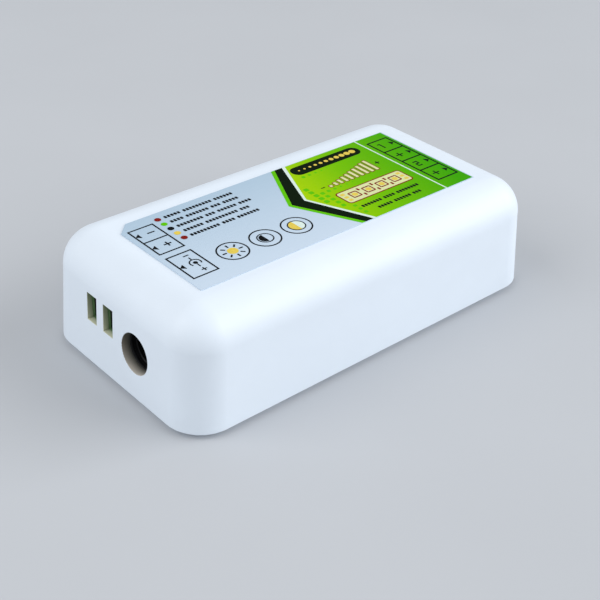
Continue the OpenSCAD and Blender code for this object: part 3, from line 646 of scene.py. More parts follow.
def hook_cutters():
    """Pockets in the side walls, which the base plate's hooks catch in."""
    y = HOOK_REACH - HOOK_DEPTH / 2
    return [block_round(side_x * HOOK_X, side_y * y, HOOK_L / 2, HOOK_DEPTH / 2, HOOK_LOW, HOOK_HIGH)
            for side_x in (-1, 1) for side_y in (-1, 1)]


def post_rods(radius, low_z, high_z, steps):
    """Upright rods on the axes of the board screws, where the shell's posts are."""
    spots = [middle(*box) for box in islands("board_screws")]
    return [rod((x, y, low_z), (x, y, high_z), radius, steps) for x, y in spots]


def make_shell():
    shell = tub("top_shell_moulding", SHELL_L, SHELL_W, EDGE_R, RIM_H, CORNER_STEPS)
    white = plain_plastic("shell_white", SHELL_COLOUR, (0.42, 0.5), 0.02, 0.2 * MM, 0.001 * MM, IOR=1.5)
    paint(shell, white, shell_inside_painted_shade())
    inside = tub("inside", SHELL_L - 2 * WALL_T, SHELL_W - 2 * WALL_T, EDGE_R - WALL_T, RIM_H - CUT,
                 CORNER_STEPS // 2)
    carve(shell, [inside], finish=1)
    carve(shell, post_rods(POST_R, board_high.z, ROOF_Z + WALL_T / 2, POST_STEPS), "UNION", finish=1)
    cutters = post_rods(POST_BORE_R, board_high.z - CUT, ROOF_Z + CUT, BORE_STEPS)
    for housing in TERMINALS:
        cutters += terminal_cutters(housing)
    carve(shell, cutters + jack_cutters() + hook_cutters(), finish=1)
    mark_outer_edges(shell)
    bevel(shell, HOLE_ROUND, 3, weighted=True)
    freeze(shell)
    smooth(shell, 38)
    settle(shell, "case", "white_shell", "top_shell")


def mark_outer_edges(shell):
    """Gives the outer surface's sharp edges, at the openings and the rim, a bevel weight."""
    bm = bmesh.new()
    bm.from_mesh(shell.data)
    bmesh.ops.remove_doubles(bm, verts=bm.verts, dist=0.002 * MM)
    weights = bm.edges.layers.float
    weight = weights.get("bevel_weight_edge") or weights.new("bevel_weight_edge")
    for edge in bm.edges:
        sharp = len(edge.link_faces) == 2 and edge.calc_face_angle(0) >= OUTER_ANGLE
        if sharp and all(is_outside(vert.co) for vert in edge.verts):
            edge[weight] = 1
    bm.to_mesh(shell.data)
    bm.free()


def is_outside(point):
    """Whether a point lies on an end wall's or a side's outer face, or on the rim's outer edge."""
    near = 0.03 * MM
    on_end = abs(SHELL_L / 2 - lean(point.z) - abs(point.x)) < near
    on_side = abs(SHELL_W / 2 - lean(point.z) - abs(point.y)) < near
    on_rim = abs(point.z - RIM_H) < near
    return on_end or on_side or (on_rim and abs(point.x) > SHELL_L / 2 - EDGE_R)


# Thin printed shapes, on the label and on the board

# Steps round a disc, a hoop and the corner of a bar
DISC_STEPS = 28
HOOP_STEPS = 36
BAR_STEPS = 5


class Sheet:
    """Thin shapes of one material, gathered into one mesh between two levels.

    The levels are in metres, and places and sizes are in millimetres.
    """

    def __init__(self, name, low, high):
        self.name, self.low, self.high = name, low, high
        self.bm = bmesh.new()

    def area(self, outline):
        flat = [(x * MM, y * MM) for x, y in outline]
        add_loft(self.bm, [raised(flat, z) for z in (self.low, self.high)])

    def ring(self, outer, inner):
        """Closed band between two outlines with the same number of points."""
        rows = (outer, self.low), (outer, self.high), (inner, self.high), (inner, self.low)
        add_loft(self.bm, [[(x * MM, y * MM, z) for x, y in loop] for loop, z in rows], closed=True)

    def bar(self, x, y, length, width, radius=0.0, turn=0.0):
        """Bar round its middle, with round corners if a radius is given, turned by some degrees."""
        self.area(placed(corner_loop(length, width, radius), x, y, turn))

    def frame(self, x, y, length, width, line, radius=0.0):
        inner = corner_loop(length - 2 * line, width - 2 * line, max(radius - line, 0.0), bool(radius))
        self.ring(placed(corner_loop(length, width, radius), x, y), placed(inner, x, y))

    def disc(self, x, y, radius, steps=DISC_STEPS):
        self.area(circle(x, y, radius, steps))

    def hoop(self, x, y, radius, line):
        self.ring(*(circle(x, y, reach, HOOP_STEPS) for reach in (radius, radius - line)))

    def half_disc(self, x, y, radius, start):
        """Half a disc, which starts at an angle in degrees."""
        self.area(arc(x, y, radius, start, 180, HOOP_STEPS // 2))

    def plus(self, x, y, size, line):
        half = (size - line) / 2
        self.bar(x, y, size, line)
        for side in (-1, 1):
            self.bar(x, y + side * (line / 2 + half / 2), line, half)

    def arrow(self, x, y, way):
        """Solid arrowhead that points along X."""
        half, reach = 0.75, 0.45
        self.area([(x + way * reach, y), (x - way * reach, y + half), (x - way * reach, y - half)][::way])

    def finish(self, slot, material, *nodes):
        piece = from_bmesh(self.name, self.bm)
        paint(piece, material)
        settle(piece, "case", slot, *nodes)


def corner_loop(length, width, radius, keep_round=False):
    if radius or keep_round:
        return rounded_loop(length, width, radius, BAR_STEPS)
    return [(x * length / 2, y * width / 2) for x, y in ((1, 1), (-1, 1), (-1, -1), (1, -1))]


def placed(loop, x, y, turn=0.0):
    c, s = math.cos(math.radians(turn)), math.sin(math.radians(turn))
    return [(x + c * px - s * py, y + s * px + c * py) for px, py in loop]


# The label: a thin film, with inks that stand a few hundredths of a millimetre proud of it

FILM_Z = label_high.z - 0.04 * MM
INK_SINK = 0.003 * MM
INK_STEP = 0.01 * MM
INK_GLOSS = 0.01

# Each ink's count of steps above the film, which differs where inks cross, and its colour
INKS = {
    "dark": (3, (0.006, 0.007, 0.008)),
    "black_green": (2, (0.003, 0.010, 0.002)),
    "bright_green": (2, (0.11, 0.50, 0.003)),
    "pale": (2, (0.66, 0.78, 0.72)),
    "cream": (3, (0.66, 0.70, 0.36)),
    "red": (4, (0.21, 0.012, 0.008)),
    "amber": (4, (0.72, 0.55, 0.09)),
}

# The print, in millimetres: the coloured field's left side is a chevron with its tip at the left
LABEL_CUT = 2.5
LABEL_Y = (-13.22, 12.42)
FIELD_TIP = (0.6, -0.4)
FIELD_EDGE_X = 6.2
FIELD_RIGHT = 32.2
FIELD_RISE = 12.8
FIELD_LINE_X = 24.85

# Bands along the chevron: how far the tip and the ends lie from the field's, and the band's width at both
PALE_BAND = (-0.55, -0.75, 0.55, 0.75)
DARK_BAND = (-3.5, -2.6, 2.95, 1.85)
BRIGHT_BAND = (-4.3, -3.5, 0.8, 0.9)

# Places on the field that other print takes: its left side, and its lower and upper side
COVERED = [(5.4, -7.6, -1.2), (4.6, -0.2, 6.2), (5.0, 6.9, math.inf), (6.4, -math.inf, -7.6)]

# Squares that stand for letters, and rows of them: height on the label, and the letters in each word
LETTER_W = 0.52
LETTER_H = 0.8
LETTER_GAP = 0.2
WORD_GAP = 0.55
TEXT_ROWS = [(10.2, (5, 9, 6)), (8.2, (4, 7, 3, 5)), (6.2, (8, 3, 6, 4)), (4.2, (6, 10, 3)), (2.2, (9, 4, 7))]


def field_green():
    """Yellow-green that deepens towards the lamp end."""
    tree = Tree("label_green_field")
    grain = tree.spread(tree.noise(0.4 * MM), *NOISE_RANGE, -0.5 * MM, 0.5 * MM)
    slant = tree.times(tree.axis("Y"), -0.18)
    along = tree.math("ADD", tree.axis("X"), tree.math("ADD", slant, grain))
    near = tree.mix(tree.spread(along, 1 * MM, 13 * MM), LIME_COLOUR, GREEN_COLOUR)
    tree.colour(tree.spread(along, 13 * MM, 32 * MM), near, DEEP_GREEN_COLOUR)
    tree.gloss(tree.noise(2 * MM), 0.3, 0.4)
    tree.set(Specular_IOR_Level=INK_GLOSS)
    return tree.material


def film():
    """Silvery film under a clear satin face, with a tint that lightens towards the front."""
    tree = Tree("label_film")
    fibres = tree.noise(0.6 * MM, detail=4, stretch=(0.3, 1, 1))
    wander = tree.spread(fibres, *NOISE_RANGE, -1 * MM, 1 * MM)
    back = tree.spread(tree.math("ADD", tree.axis("Y"), wander), -13 * MM, 12 * MM)
    tree.colour(back, FILM_FRONT_COLOUR, FILM_BACK_COLOUR)
    tree.gloss(tree.noise(3 * MM), 0.4, 0.48)
    tree.bump(tree.noise(8 * MM, detail=1), 0.01 * MM)
    tree.set(Specular_IOR_Level=0.3)
    return tree.material


def make_film():
    """The film, with its back left corner cut off."""
    (left, front), (right, back) = (corner.xy / MM for corner in (label_low, label_high))
    cut = [(left + LABEL_CUT, back), (left, back - LABEL_CUT)]
    sheet = Sheet("label_film", label_low.z, FILM_Z)
    sheet.area([(left, front), (right, front), (right, back), *cut])
    sheet.finish("label_film", film(), "label_sticker")


def ink_sheet(name, steps):
    return Sheet(name, FILM_Z - INK_SINK, FILM_Z + steps * INK_STEP)


def make_label():
    make_film()
    inks = {name: ink_sheet(f"label_{name}_ink", steps) for name, (steps, _) in INKS.items()}
    dark, black_green, bright_green, pale, cream, red, amber = inks.values()
    field = ink_sheet("label_green_field", 1)
    print_field(field, black_green, bright_green, pale)
    print_squares(bright_green)
    print_strip(red, cream, amber)
    print_ramp(red, cream, dark)
    print_pill(black_green, amber)
    print_rows(dark, [red, bright_green, dark, amber, red])
    print_icons(dark, amber, pale)
    print_input_table(dark)
    print_output_table(dark)
    for name, (_, colour) in INKS.items():
        inks[name].finish("label_film", printed(inks[name].name, colour))
    field.finish("label_film", field_green())


def chevron(tip_shift, edge_shift, tip_width, edge_width):
    """Band that runs from the label's upper edge to a tip at the left and back to the lower edge."""
    tip_x, tip_y = FIELD_TIP
    low, high = LABEL_Y
    tip, edge = tip_x + tip_shift, FIELD_EDGE_X + edge_shift
    return [(edge, high), (tip, tip_y), (edge, low),
            (edge + edge_width, low), (tip + tip_width, tip_y), (edge + edge_width, high)]


def print_field(field, black_green, bright_green, pale):
    """The coloured field, the bands along its chevron, and a pale line near its right side."""
    low, high = LABEL_Y
    left, right = FIELD_EDGE_X, FIELD_RIGHT
    field.area([(left, high), FIELD_TIP, (left, low), (right, low), (right, high)])
    pale.area(chevron(*PALE_BAND))
    black_green.area(chevron(*DARK_BAND))
    bright_green.area(chevron(*BRIGHT_BAND))
    pale.bar(FIELD_LINE_X, (low + high) / 2, 0.3, high - low)


def print_squares(bright_green):
    """Squares that shrink towards the right, wherever the field is free."""
    tip_x, tip_y = FIELD_TIP
    for column in range(7):
        size = 1.3 - 0.17 * column
        for row in range(-8, 9):
            x, y = 3.1 + 1.55 * column, tip_y + 1.45 * row
            edge = tip_x + (FIELD_EDGE_X - tip_x) * abs(y - tip_y) / FIELD_RISE
            if x - size / 2 > edge + 0.5 and abs(y) < 11.6 and not covered(x, y):
                bright_green.bar(x, y, size * 0.8, size * 0.8, size * 0.2)


def covered(x, y):
    return any(x > left and low < y < high for left, low, high in COVERED)


def print_strip(red, cream, amber):
    """A length of LED strip: square lamps on a tape, small parts between them, and pads at both ends."""
    x, y, pitch = 14.4, -4.4, 3.5
    cream.bar(x, y, 16.4, 4.2, 0.6)
    red.frame(x, y, 16.9, 4.7, 0.25, 0.8)
    for i in range(4):
        lamp_x = 9.2 + pitch * i
        red.frame(lamp_x, y, 2.2, 2.2, 0.3, 0.3)
        amber.disc(lamp_x, y, 0.62)
    for i in range(3):
        for row in (-1.1, 1.1):
            red.bar(10.95 + pitch * i, y + row, 0.45, 0.9)
    for side in (-1, 1):
        for row in (-1.2, 0, 1.2):
            amber.bar(x + 7.3 * side, y + row, 0.9, 0.7, 0.15)


def print_ramp(red, cream, dark):
    """Brightness steps, from minus to plus."""
    base, line = 0.3, 0.16
    for i in range(10):
        x, height = 7.9 + 1.35 * i, 1.0 + 0.42 * i
        red.frame(x, base + height / 2, 1.0, height, line, 0.2)
        cream.bar(x, base + height / 2, 1.0 - 2 * line, height - 2 * line, 0.1)
    dark.bar(6.2, base + 0.9, 0.95, 0.24)
    dark.plus(21.9, base + 2.4, 1.1, 0.26)


def print_pill(black_green, amber):
    """Dark pill with a row of dots that swell from dim to bright."""
    y = 9.4
    black_green.bar(14.3, y, 17.6, 3.3, 1.6)
    for i in range(11):
        amber.disc(7.3 + 1.4 * i, y, 0.2 + 0.05 * i, 20)


def dotted_row(ink, x, y, words):
    """Row of small squares in groups, where a real label has a line of words."""
    for count in words:
        for _ in range(count):
            ink.bar(x + LETTER_W / 2, y, LETTER_W, LETTER_H, 0.14)
            x += LETTER_W + LETTER_GAP
        x += WORD_GAP


def print_rows(dark, bullets):
    """Rows that stand for lines of words, with bullets on the left, and two on the field."""
    for (y, words), bullet in zip(TEXT_ROWS, bullets):
        bullet.disc(-25.4, y, 0.62)
        dotted_row(dark, -24.0, y, words)
    dotted_row(dark, 7.0, -8.7, (7, 4, 8))
    dotted_row(dark, 9.2, -10.8, (5, 6, 3))


def print_icons(dark, amber, pale):
    """Three round pictograms: full light, dimmed light, and warm or cool light."""
    full_x, dimmed_x, warm_x, y = -21.6, -14.4, -7.2, -6.6
    for x in (full_x, dimmed_x, warm_x):
        dark.hoop(x, y, 3.0, 0.28)
    amber.disc(full_x, y, 1.0)
    for i in range(8):
        turn = math.radians(45 * i)
        dark.bar(full_x + 1.75 * math.cos(turn), y + 1.75 * math.sin(turn), 0.85, 0.3, turn=45 * i)
    dark.hoop(dimmed_x, y, 1.6, 0.22)
    dark.half_disc(dimmed_x, y, 1.2, 90)
    amber.half_disc(warm_x, y, 1.5, 90)
    pale.half_disc(warm_x, y, 1.5, -90)
    dark.hoop(warm_x, y, 1.75, 0.2)


def print_input_table(dark):
    """Signs beside the power slots and the plug's hole, with arrows that point at them."""
    x, sign_x, arrow_x, line = -29.6, -28.9, -31.6, 0.3
    slots_y, plus_y, minus_y, jack_row_y = 4.75, 2.25, 7.25, -5.75
    dark.frame(x, slots_y, 5.4, 9.9, line)
    dark.bar(x, slots_y, 5.0, line)
    for y in (plus_y, minus_y):
        dark.arrow(arrow_x, y, -1)
    dark.plus(sign_x, plus_y, 1.5, line)
    dark.bar(sign_x, minus_y, 1.5, line)
    dark.frame(x, jack_row_y, 5.4, 8.2, line)
    dark.arrow(arrow_x, jack_row_y, -1)
    print_plug_sign(dark, sign_x, jack_row_y)


def print_plug_sign(dark, x, y):
    """Centre-positive sign: a dot in an open ring, with minus above it and plus below."""
    line, gap = 0.24, 55
    dark.disc(x, y, 0.42)
    outer, inner = (arc(x, y, radius, gap - 90, 360 - 2 * gap, 26) for radius in (1.15, 1.15 - line))
    dark.area(outer + inner[::-1])
    dark.bar(x, y + 1.55, 0.22, 0.8)
    dark.bar(x, y + 2.75, 1.1, line)
    dark.bar(x, y - 0.95, 0.22, 1.06)
    dark.plus(x, y - 2.5, 1.1, line)


def print_output_table(dark):
    """Numbers and signs beside the four lamp slots."""
    x, sign_x, line, sign_line = 28.8, 28.0, 0.34, 0.3
    dark.frame(x, 0, 5.6, 20.2, line)
    for y in (-5, 0, 5):
        dark.bar(x, y, 5.2, line)
    for y in (-7.5, -2.5, 2.5, 7.5):
        dark.arrow(30.7, y, 1)
    for y in (-7.5, 2.5):
        dark.plus(sign_x, y, 1.7, sign_line)
    print_one(dark, sign_x, 7.5, 2.0, sign_line)
    print_two(dark, sign_x, -2.5, 2.0, sign_line)


# Width of a digit, as a share of its height
DIGIT_SHAPE = 0.55


def print_one(ink, x, y, height, line):
    reach = height * DIGIT_SHAPE / 2
    ink.bar(x, y, line, height)
    ink.bar(x - (reach + line / 2) / 2, y + (height - line) / 2, reach - line / 2, line)


def print_two(ink, x, y, height, line):
    width = height * DIGIT_SHAPE
    gap = (height - 3 * line) / 2
    for level in (-1, 0, 1):
        ink.bar(x, y + level * (height - line) / 2, width, line)
    for side in (-1, 1):
        ink.bar(x + side * (width - line) / 2, y + side * (gap + line) / 2, line, gap)


# Pieces inside the case

def softened(node, slot, material, width, segments=2, cuts=()):
    """Copy of a CAD node with its sharp edges rounded.

    One face can't go round a hole, so a flat face with a hole is kept in parts, cut at places along Y.
    """
    source = frame["nodes"][node]
    bm = bmesh.new()
    bm.from_mesh(source.data)
    bmesh.ops.remove_doubles(bm, verts=bm.verts, dist=0.001 * MM)
    for y in cuts:
        parts = bmesh.ops.bisect_plane(bm, geom=[*bm.verts, *bm.edges, *bm.faces], dist=0.0001 * MM,
                                       plane_co=(0, y, 0), plane_no=(0, 1, 0))
        for part in parts["geom_cut"]:
            if isinstance(part, bmesh.types.BMEdge):
                part.seam = True
    bmesh.ops.dissolve_limit(bm, angle_limit=math.radians(0.5), verts=bm.verts, edges=bm.edges,
                             delimit={"SEAM"})
    piece = from_bmesh(node + "_finished", bm)
    bevel(piece, width, segments)
    complete(piece, None, material, source["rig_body"], slot, node)
    return piece


def dress(node, material):
    """Puts a better material on a CAD node that keeps its shape."""
    piece = frame["nodes"][node]
    if not piece.material_slots:
        piece.data.materials.append(material)
    for place in piece.material_slots:
        place.link = "OBJECT"
        place.material = material


def base_plate():
    """The plate with its edges rounded, and four faint ejector-pin rings under it.

    It is spark-eroded, with a coarser and duller grain than the shell's.
    """
    material = plain_plastic("base_white", BASE_COLOUR, (0.42, 0.55), 0.02, 0.12 * MM, 0.008 * MM, IOR=1.53)
    plate = softened("base_plate", "white_base", material, 0.2 * MM, 3)
    freeze(plate)
    ring_x, ring_y, outer_r, inner_r, depth = 22 * MM, 15 * MM, 2.6 * MM, 2.35 * MM, 0.06 * MM
    cutters = []
    for x in (-ring_x, ring_x):
        for y in (-ring_y, ring_y):
            ring = loft("ring", turned_rings(x, y, [(outer_r, -CUT), (outer_r, depth)], 48))
            carve(ring, [rod((x, y, -2 * CUT), (x, y, CUT), inner_r, 48)])
            cutters.append(ring)
    carve(plate, cutters)
    smooth(plate, 40)
    paint(plate, material)


# Screws, in millimetres: the thread's radius, depth and pitch, the plain necks before and after it, the tip
TERMINAL_SCREW = (1.21, 0.19, 0.45, 0.15, 0.3, 0.75)
BOARD_SCREW = (0.9, 0.18, 0.6, 0.2, 0.5, 0.25)
TERMINAL_HEAD_H = 1.2 * MM
CROSS_HALF_W = 0.3 * MM
CROSS_DEPTH = 0.6 * MM


def screw_rings(x, y, head, sizes, head_z, tip_z):
    """Rings of a screw with its head down: the head's profile, the thread and the tip."""
    radius, depth, pitch, neck, taper, tip_r = (size * MM for size in sizes)
    rings = turned_rings(x, y, head, SCREW_STEPS)
    rings += thread_rings(x, y, radius, depth, pitch, head_z + neck, tip_z - taper)
    return rings + turned_rings(x, y, [(tip_r, tip_z)], SCREW_STEPS)


def terminal_screw(node, material):
    """Cheese-head screw with a cut thread, head down."""
    low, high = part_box(node)
    x, y = middle(low, high)
    head_r = (high.x - low.x) / 2
    top = low.z + TERMINAL_HEAD_H
    head = profile_from(head_r, low.z, (-0.2, 0), (-0.05, 0.07), (0, 0.2))
    head += profile_from(head_r, top, (0, -0.1), (-0.08, 0)) + [(1.12 * MM, top)]
    piece = loft(node + "_threaded", screw_rings(x, y, head, TERMINAL_SCREW, top, high.z))
    carve(piece, crossed_bars(x, y, low.z, head_r * 0.65, CROSS_HALF_W, CROSS_DEPTH))
    complete(piece, 38, material, frame["nodes"][node]["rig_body"], "zinc_steel", node)


def board_screws(material):
    """Four pan-head screws that hold the board to the roof's posts."""
    bm = bmesh.new()
    cutters = []
    for low, high in islands("board_screws"):
        x, y = middle(low, high)
        head = profile_from(0, low.z, (1.05, 0), (1.5, 0.1), (1.78, 0.35), (1.9, 0.75))
        head += profile_from(0, FACE_Z, (1.9, 0), (0.8, 0))
        add_loft(bm, screw_rings(x, y, head, BOARD_SCREW, FACE_Z, high.z))
        cutters += crossed_bars(x, y, low.z, 1.2 * MM, CROSS_HALF_W, CROSS_DEPTH)
    piece = from_bmesh("board_screws_threaded", bm)
    carve(piece, cutters)
    complete(piece, 38, material, "case", "zinc_steel", "board_screws")


def jack_nose(material):
    """Lip round the jack's mouth, which stands into the shell's hole."""
    outer, inner, round_r = 3.68 * MM, 3.35 * MM, 0.08 * MM
    root, tip = jack_low.x + 0.05 * MM, jack_low.x - 0.55 * MM
    profile = [(root, outer), (tip + round_r, outer), (tip, outer - round_r),
               (tip, inner + round_r), (tip + round_r, inner), (root, inner)]
    rings = [[(x, y, z) for y, z in circle(jack_y, jack_z, radius, 72)] for x, radius in profile]
    piece = loft("jack_nose", rings, closed=True)
    complete(piece, 50, material, "case", "black_plastic")


def solder(material):
    """Concave cones of solder, in place of the CAD's straight ones."""
    steps, tip_share, tip_lift = 8, 0.42, 0.03 * MM
    bm = bmesh.new()
    for low, high in islands("solder_joints"):
        x, y = middle(low, high)
        wide = (high.x - low.x) / 2
        tip = wide * tip_share
        profile = []
        for i in range(steps + 1):
            share = i / steps
            profile.append((tip + (wide - tip) * (1 - share) ** 2.2, low.z + (high.z - low.z) * share))
        profile.append((tip * 0.6, high.z + tip_lift))
        add_loft(bm, turned_rings(x, y, profile, 28))
    piece = from_bmesh("solder_cones", bm)
    complete(piece, 60, material, "case", "solder", "solder_joints")


def capacitor(sleeve, bare):
    """Electrolytic can in a plastic sleeve, with a rolled neck and a scored vent in its bare end."""
    low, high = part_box("capacitor_can")
    x, y = middle(low, high)
    r = (high.x - low.x) / 2
    neck_z, neck_half_h, neck_depth = high.z - 0.7 * MM, 0.6 * MM, 0.3 * MM
    profile = profile_from(r, low.z, (-0.9, 0.02), (-0.55, 0), (-0.2, 0.06), (0, 0.3))
    profile += profile_from(r, neck_z, (0, -0.75))
    for i in range(9):
        turn = math.pi * i / 8
        profile.append((r - neck_depth * math.sin(turn), neck_z - neck_half_h * math.cos(turn)))
    profile += profile_from(r, high.z, (0, -0.06), (-0.1, 0), (-0.5, 0))
    piece = loft("capacitor_can_sleeved", turned_rings(x, y, profile, 64))
    carve(piece, crossed_bars(x, y, low.z, r * 0.62, 0.12 * MM, 0.12 * MM))
    smooth(piece, 40)
    paint(piece, sleeve, bare)
    for face in piece.data.polygons:
        off_axis = math.hypot(face.center.x - x, face.center.y - y)
        is_bare = face.center.z < low.z + 0.25 * MM and off_axis < r - 0.5 * MM
        face.material_index = int(is_bare)
    settle(piece, "case", "can_sleeve", "capacitor_can")


# The board's print and tracks, in millimetres but for the levels. A track has its middle line and its width.
TRACK_T = 0.03 * MM
TRACK_STEP = 0.001 * MM
UNDER_TRACKS = [
    ([(27.3, 6.7), (30.5, 6.7), (31.3, 7.5), (32.5, 7.5)], 2.0),
    ([(27.3, -6.7), (29.4, -6.7), (31.0, -2.5), (32.5, -2.5)], 2.0),
    ([(17.6, 4.4), (16.4, 4.4), (15.8, 5.6)], 0.5),
    ([(17.6, -4.4), (16.4, -4.4), (15.8, -5.6)], 0.5),
    ([(13.6, 5.6), (9.0, 5.6), (6.6, 8.0), (3.2, 8.0)], 0.4),
    ([(13.6, -5.6), (12.6, -4.4), (5.0, -4.4), (2.4, -2.6), (-9.6, -2.6), (-10.6, 0.0), (-10.6, 5.6),
      (-8.2, 8.0)], 0.4),
    ([(-16.0, -1.0), (-16.0, 1.6), (-17.6, 3.2)], 1.2),
    ([(-12.4, -6.4), (-12.4, -8.2), (-8.4, -12.2), (-7.4, -12.2)], 0.5),
    ([(-26.6, 12.6), (-26.6, 9.0), (-24.4, 6.8)], 1.2),
    ([(10.6, 15.4), (8.4, 13.2), (3.6, 13.2), (2.9, 12.6)], 0.4),
]
OVER_TRACKS = [
    ([(-32.6, -1.6), (28.0, -1.6), (32.8, 2.5)], 2.6),
    ([(28.4, -1.6), (32.8, -7.2)], 2.2),
    ([(-33.2, 2.3), (-27.2, 2.3), (-24.6, -5.7)], 1.8),
    ([(-33.2, 7.3), (-22.8, 7.8)], 1.8),
    ([(-15.6, 7.8), (-10.2, 13.2), (14.6, 13.2), (22.0, 5.8), (30.4, 5.8)], 0.5),
    ([(-3.8, 1.6), (-1.2, 4.2), (9.6, 4.2)], 0.4),
    ([(-6.6, -14.9), (-13.4, -14.9), (-19.6, -8.7), (-23.8, -8.7)], 0.5),
    ([(9.2, -13.4), (9.2, -8.6), (14.2, -3.6)], 0.4),
    ([(4.1, -13.6), (4.1, -6.8), (1.4, -4.1)], 0.4),
]
SILK_T = 0.02 * MM
SILK_LINE = 0.16
SILK_GAP = (0.3, 0.3)
CHIP_GAP = (0.65, 0.25)
SILK_NODES = ["mosfet_1", "mosfet_2", "microcontroller", "voltage_regulator", "crystal_can",
              "protection_diode", "radio_board", *TERMINALS, "jack_housing"]


def track_outline(points, width):
    """Outline of a track along points, mitred at its corners."""
    points = [Vector(point) for point in points]
    left, right = [], []
    for i, point in enumerate(points):
        here, after = points[max(i - 1, 0):i + 1], points[max(i, 1):i + 2]
        ways = [(b - a).normalized() for a, b in zip(here, after)]
        way = sum(ways, Vector((0, 0))).normalized()
        normal = Vector((-way.y, way.x))
        reach = width / 2 / max(0.5, abs(normal.dot(Vector((-ways[0].y, ways[0].x)))))
        left.append(point + normal * reach)
        right.append(point - normal * reach)
    return left + right[::-1]


def board_tracks(material):
    """Copper tracks under the mask, on both faces. Each stands a little prouder than the one before it."""
    for name, face_z, way, tracks in (("board_tracks_under", FACE_Z, -1, UNDER_TRACKS),
                                      ("board_tracks_over", board_high.z, 1, OVER_TRACKS)):
        sheet = Sheet(name, face_z - TRACK_T, face_z + TRACK_T)
        for points, width in tracks:
            sheet.low += min(way, 0) * TRACK_STEP
            sheet.high += max(way, 0) * TRACK_STEP
            sheet.area(track_outline(points, width))
        sheet.finish("board_green", material)


def board_silkscreen(material):
    """White outlines round the parts, and a dot at the microcontroller's first pin."""
    silk = Sheet("board_silkscreen", FACE_Z - SILK_T, FACE_Z)
    boxes = [(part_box(node), SILK_GAP) for node in SILK_NODES]
    for node in ("chip_resistors", "chip_capacitors", "gate_transistors"):
        boxes += [(box, CHIP_GAP) for box in islands(node)]
    for (low, high), gap in boxes:
        sizes = [(high[k] - low[k]) / MM + 2 * gap[k] for k in range(2)]
        silk.frame(*(value / MM for value in middle(low, high)), *sizes, SILK_LINE)
    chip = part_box("microcontroller")[0] / MM
    silk.disc(chip.x - 0.8, chip.y - 0.7, 0.25, 20)
    silk.finish("board_green", material)


# CAD nodes that get rounded edges and a material: slot, material, rounding in millimetres, and nodes
ROUNDED = [
    ("brass_contact", "stamped_brass", 0.04, [
        "power_terminal_contacts", "output_terminal_contacts", "jack_spring_leg", "jack_spring_leaf",
        "jack_switch_contact"]),
    ("black_plastic", "jack_black", 0.12, ["jack_housing", "radio_header"]),
    ("nickel", "nickel_plating", 0.12, ["jack_centre_pin"]),
    ("board_green", "board_mask", 0.06, ["circuit_board"]),
    ("board_green", "board_mask", 0.05, ["radio_board"]),
    ("chip_black", "chip_epoxy", 0.18, ["mosfet_1", "mosfet_2"]),
    ("chip_black", "chip_epoxy", 0.1, [
        "microcontroller", "voltage_regulator", "gate_transistors", "radio_chip"]),
    ("chip_black", "diode_epoxy", 0.2, ["protection_diode"]),
    ("tinned", "tinned_leads", 0.04, [
        "mosfet_tabs", "microcontroller_legs", "regulator_legs", "gate_transistor_legs", "diode_ends",
        "chip_ends"]),
    ("rubber_bung", "rubber", 0.15, ["capacitor_bung"]),
    ("gold_copper", "gold_flash", 0.08, ["radio_header_pins"]),
    ("resistor_black", "resistor_glaze", 0.05, ["chip_resistors"]),
    ("ceramic_tan", "fired_ceramic", 0.08, ["chip_capacitors"]),
]


# Materials of the pieces inside the case: what makes each, and its colour, roughness and other traits
LOOKS = {
    "zinc_plating": (metal, (0.66, 0.65, 0.60), (0.25, 0.4)),
    "screw_zinc": (metal, (0.62, 0.62, 0.60), (0.25, 0.4)),
    "stamped_brass": (metal, (0.78, 0.62, 0.32), (0.2, 0.35)),
    "nickel_plating": (metal, (0.72, 0.71, 0.68), (0.15, 0.3)),
    "gold_flash": (metal, (0.85, 0.64, 0.25), (0.18, 0.3)),
    "can_end": (metal, (0.70, 0.71, 0.73), (0.3, 0.45)),
    "tinned_leads": (metal, (0.72, 0.72, 0.71), (0.25, 0.42), (1, 1, 6)),
    "solder": (metal, (0.70, 0.71, 0.72), (0.12, 0.3), (1, 1, 1), 0.4 * MM, 0.25),
    "jack_black": (black_plastic, (0.3, 0.42)),
    "rubber": (black_plastic, (0.6, 0.8)),
    "chip_epoxy": (epoxy,),
    "diode_epoxy": (epoxy, True),
    "resistor_glaze": (plain_plastic, (0.012, 0.012, 0.014), (0.12, 0.25), 0.2),
    "fired_ceramic": (plain_plastic, (0.23, 0.12, 0.05), (0.35, 0.5), 0.12),
    "capacitor_sleeve": (capacitor_sleeve,),
    "board_mask": (solder_mask, (0.008, 0.10, 0.035)),
    "mask_over_copper": (solder_mask, (0.02, 0.19, 0.06)),
    "white_silkscreen": (printed, SILK_COLOUR),
}


def make_terminals(materials):
    """Housings, and a threaded screw and a clamp for each wire."""
    nickel = materials["nickel_plating"]
    for housing, (ways, _) in TERMINALS.items():
        softened(housing, "terminal_green", terminal_green(housing), 0.1 * MM, cuts=way_places(housing))
        kind = housing.split("_")[0]
        for i in range(1, ways + 1):
            terminal_screw(f"{kind}_screw_{i}", materials["zinc_plating"])
            clamp = f"{kind}_clamp_{i}"
            softened(clamp, "nickel", nickel, 0.08 * MM, cuts=[middle_y(clamp)])


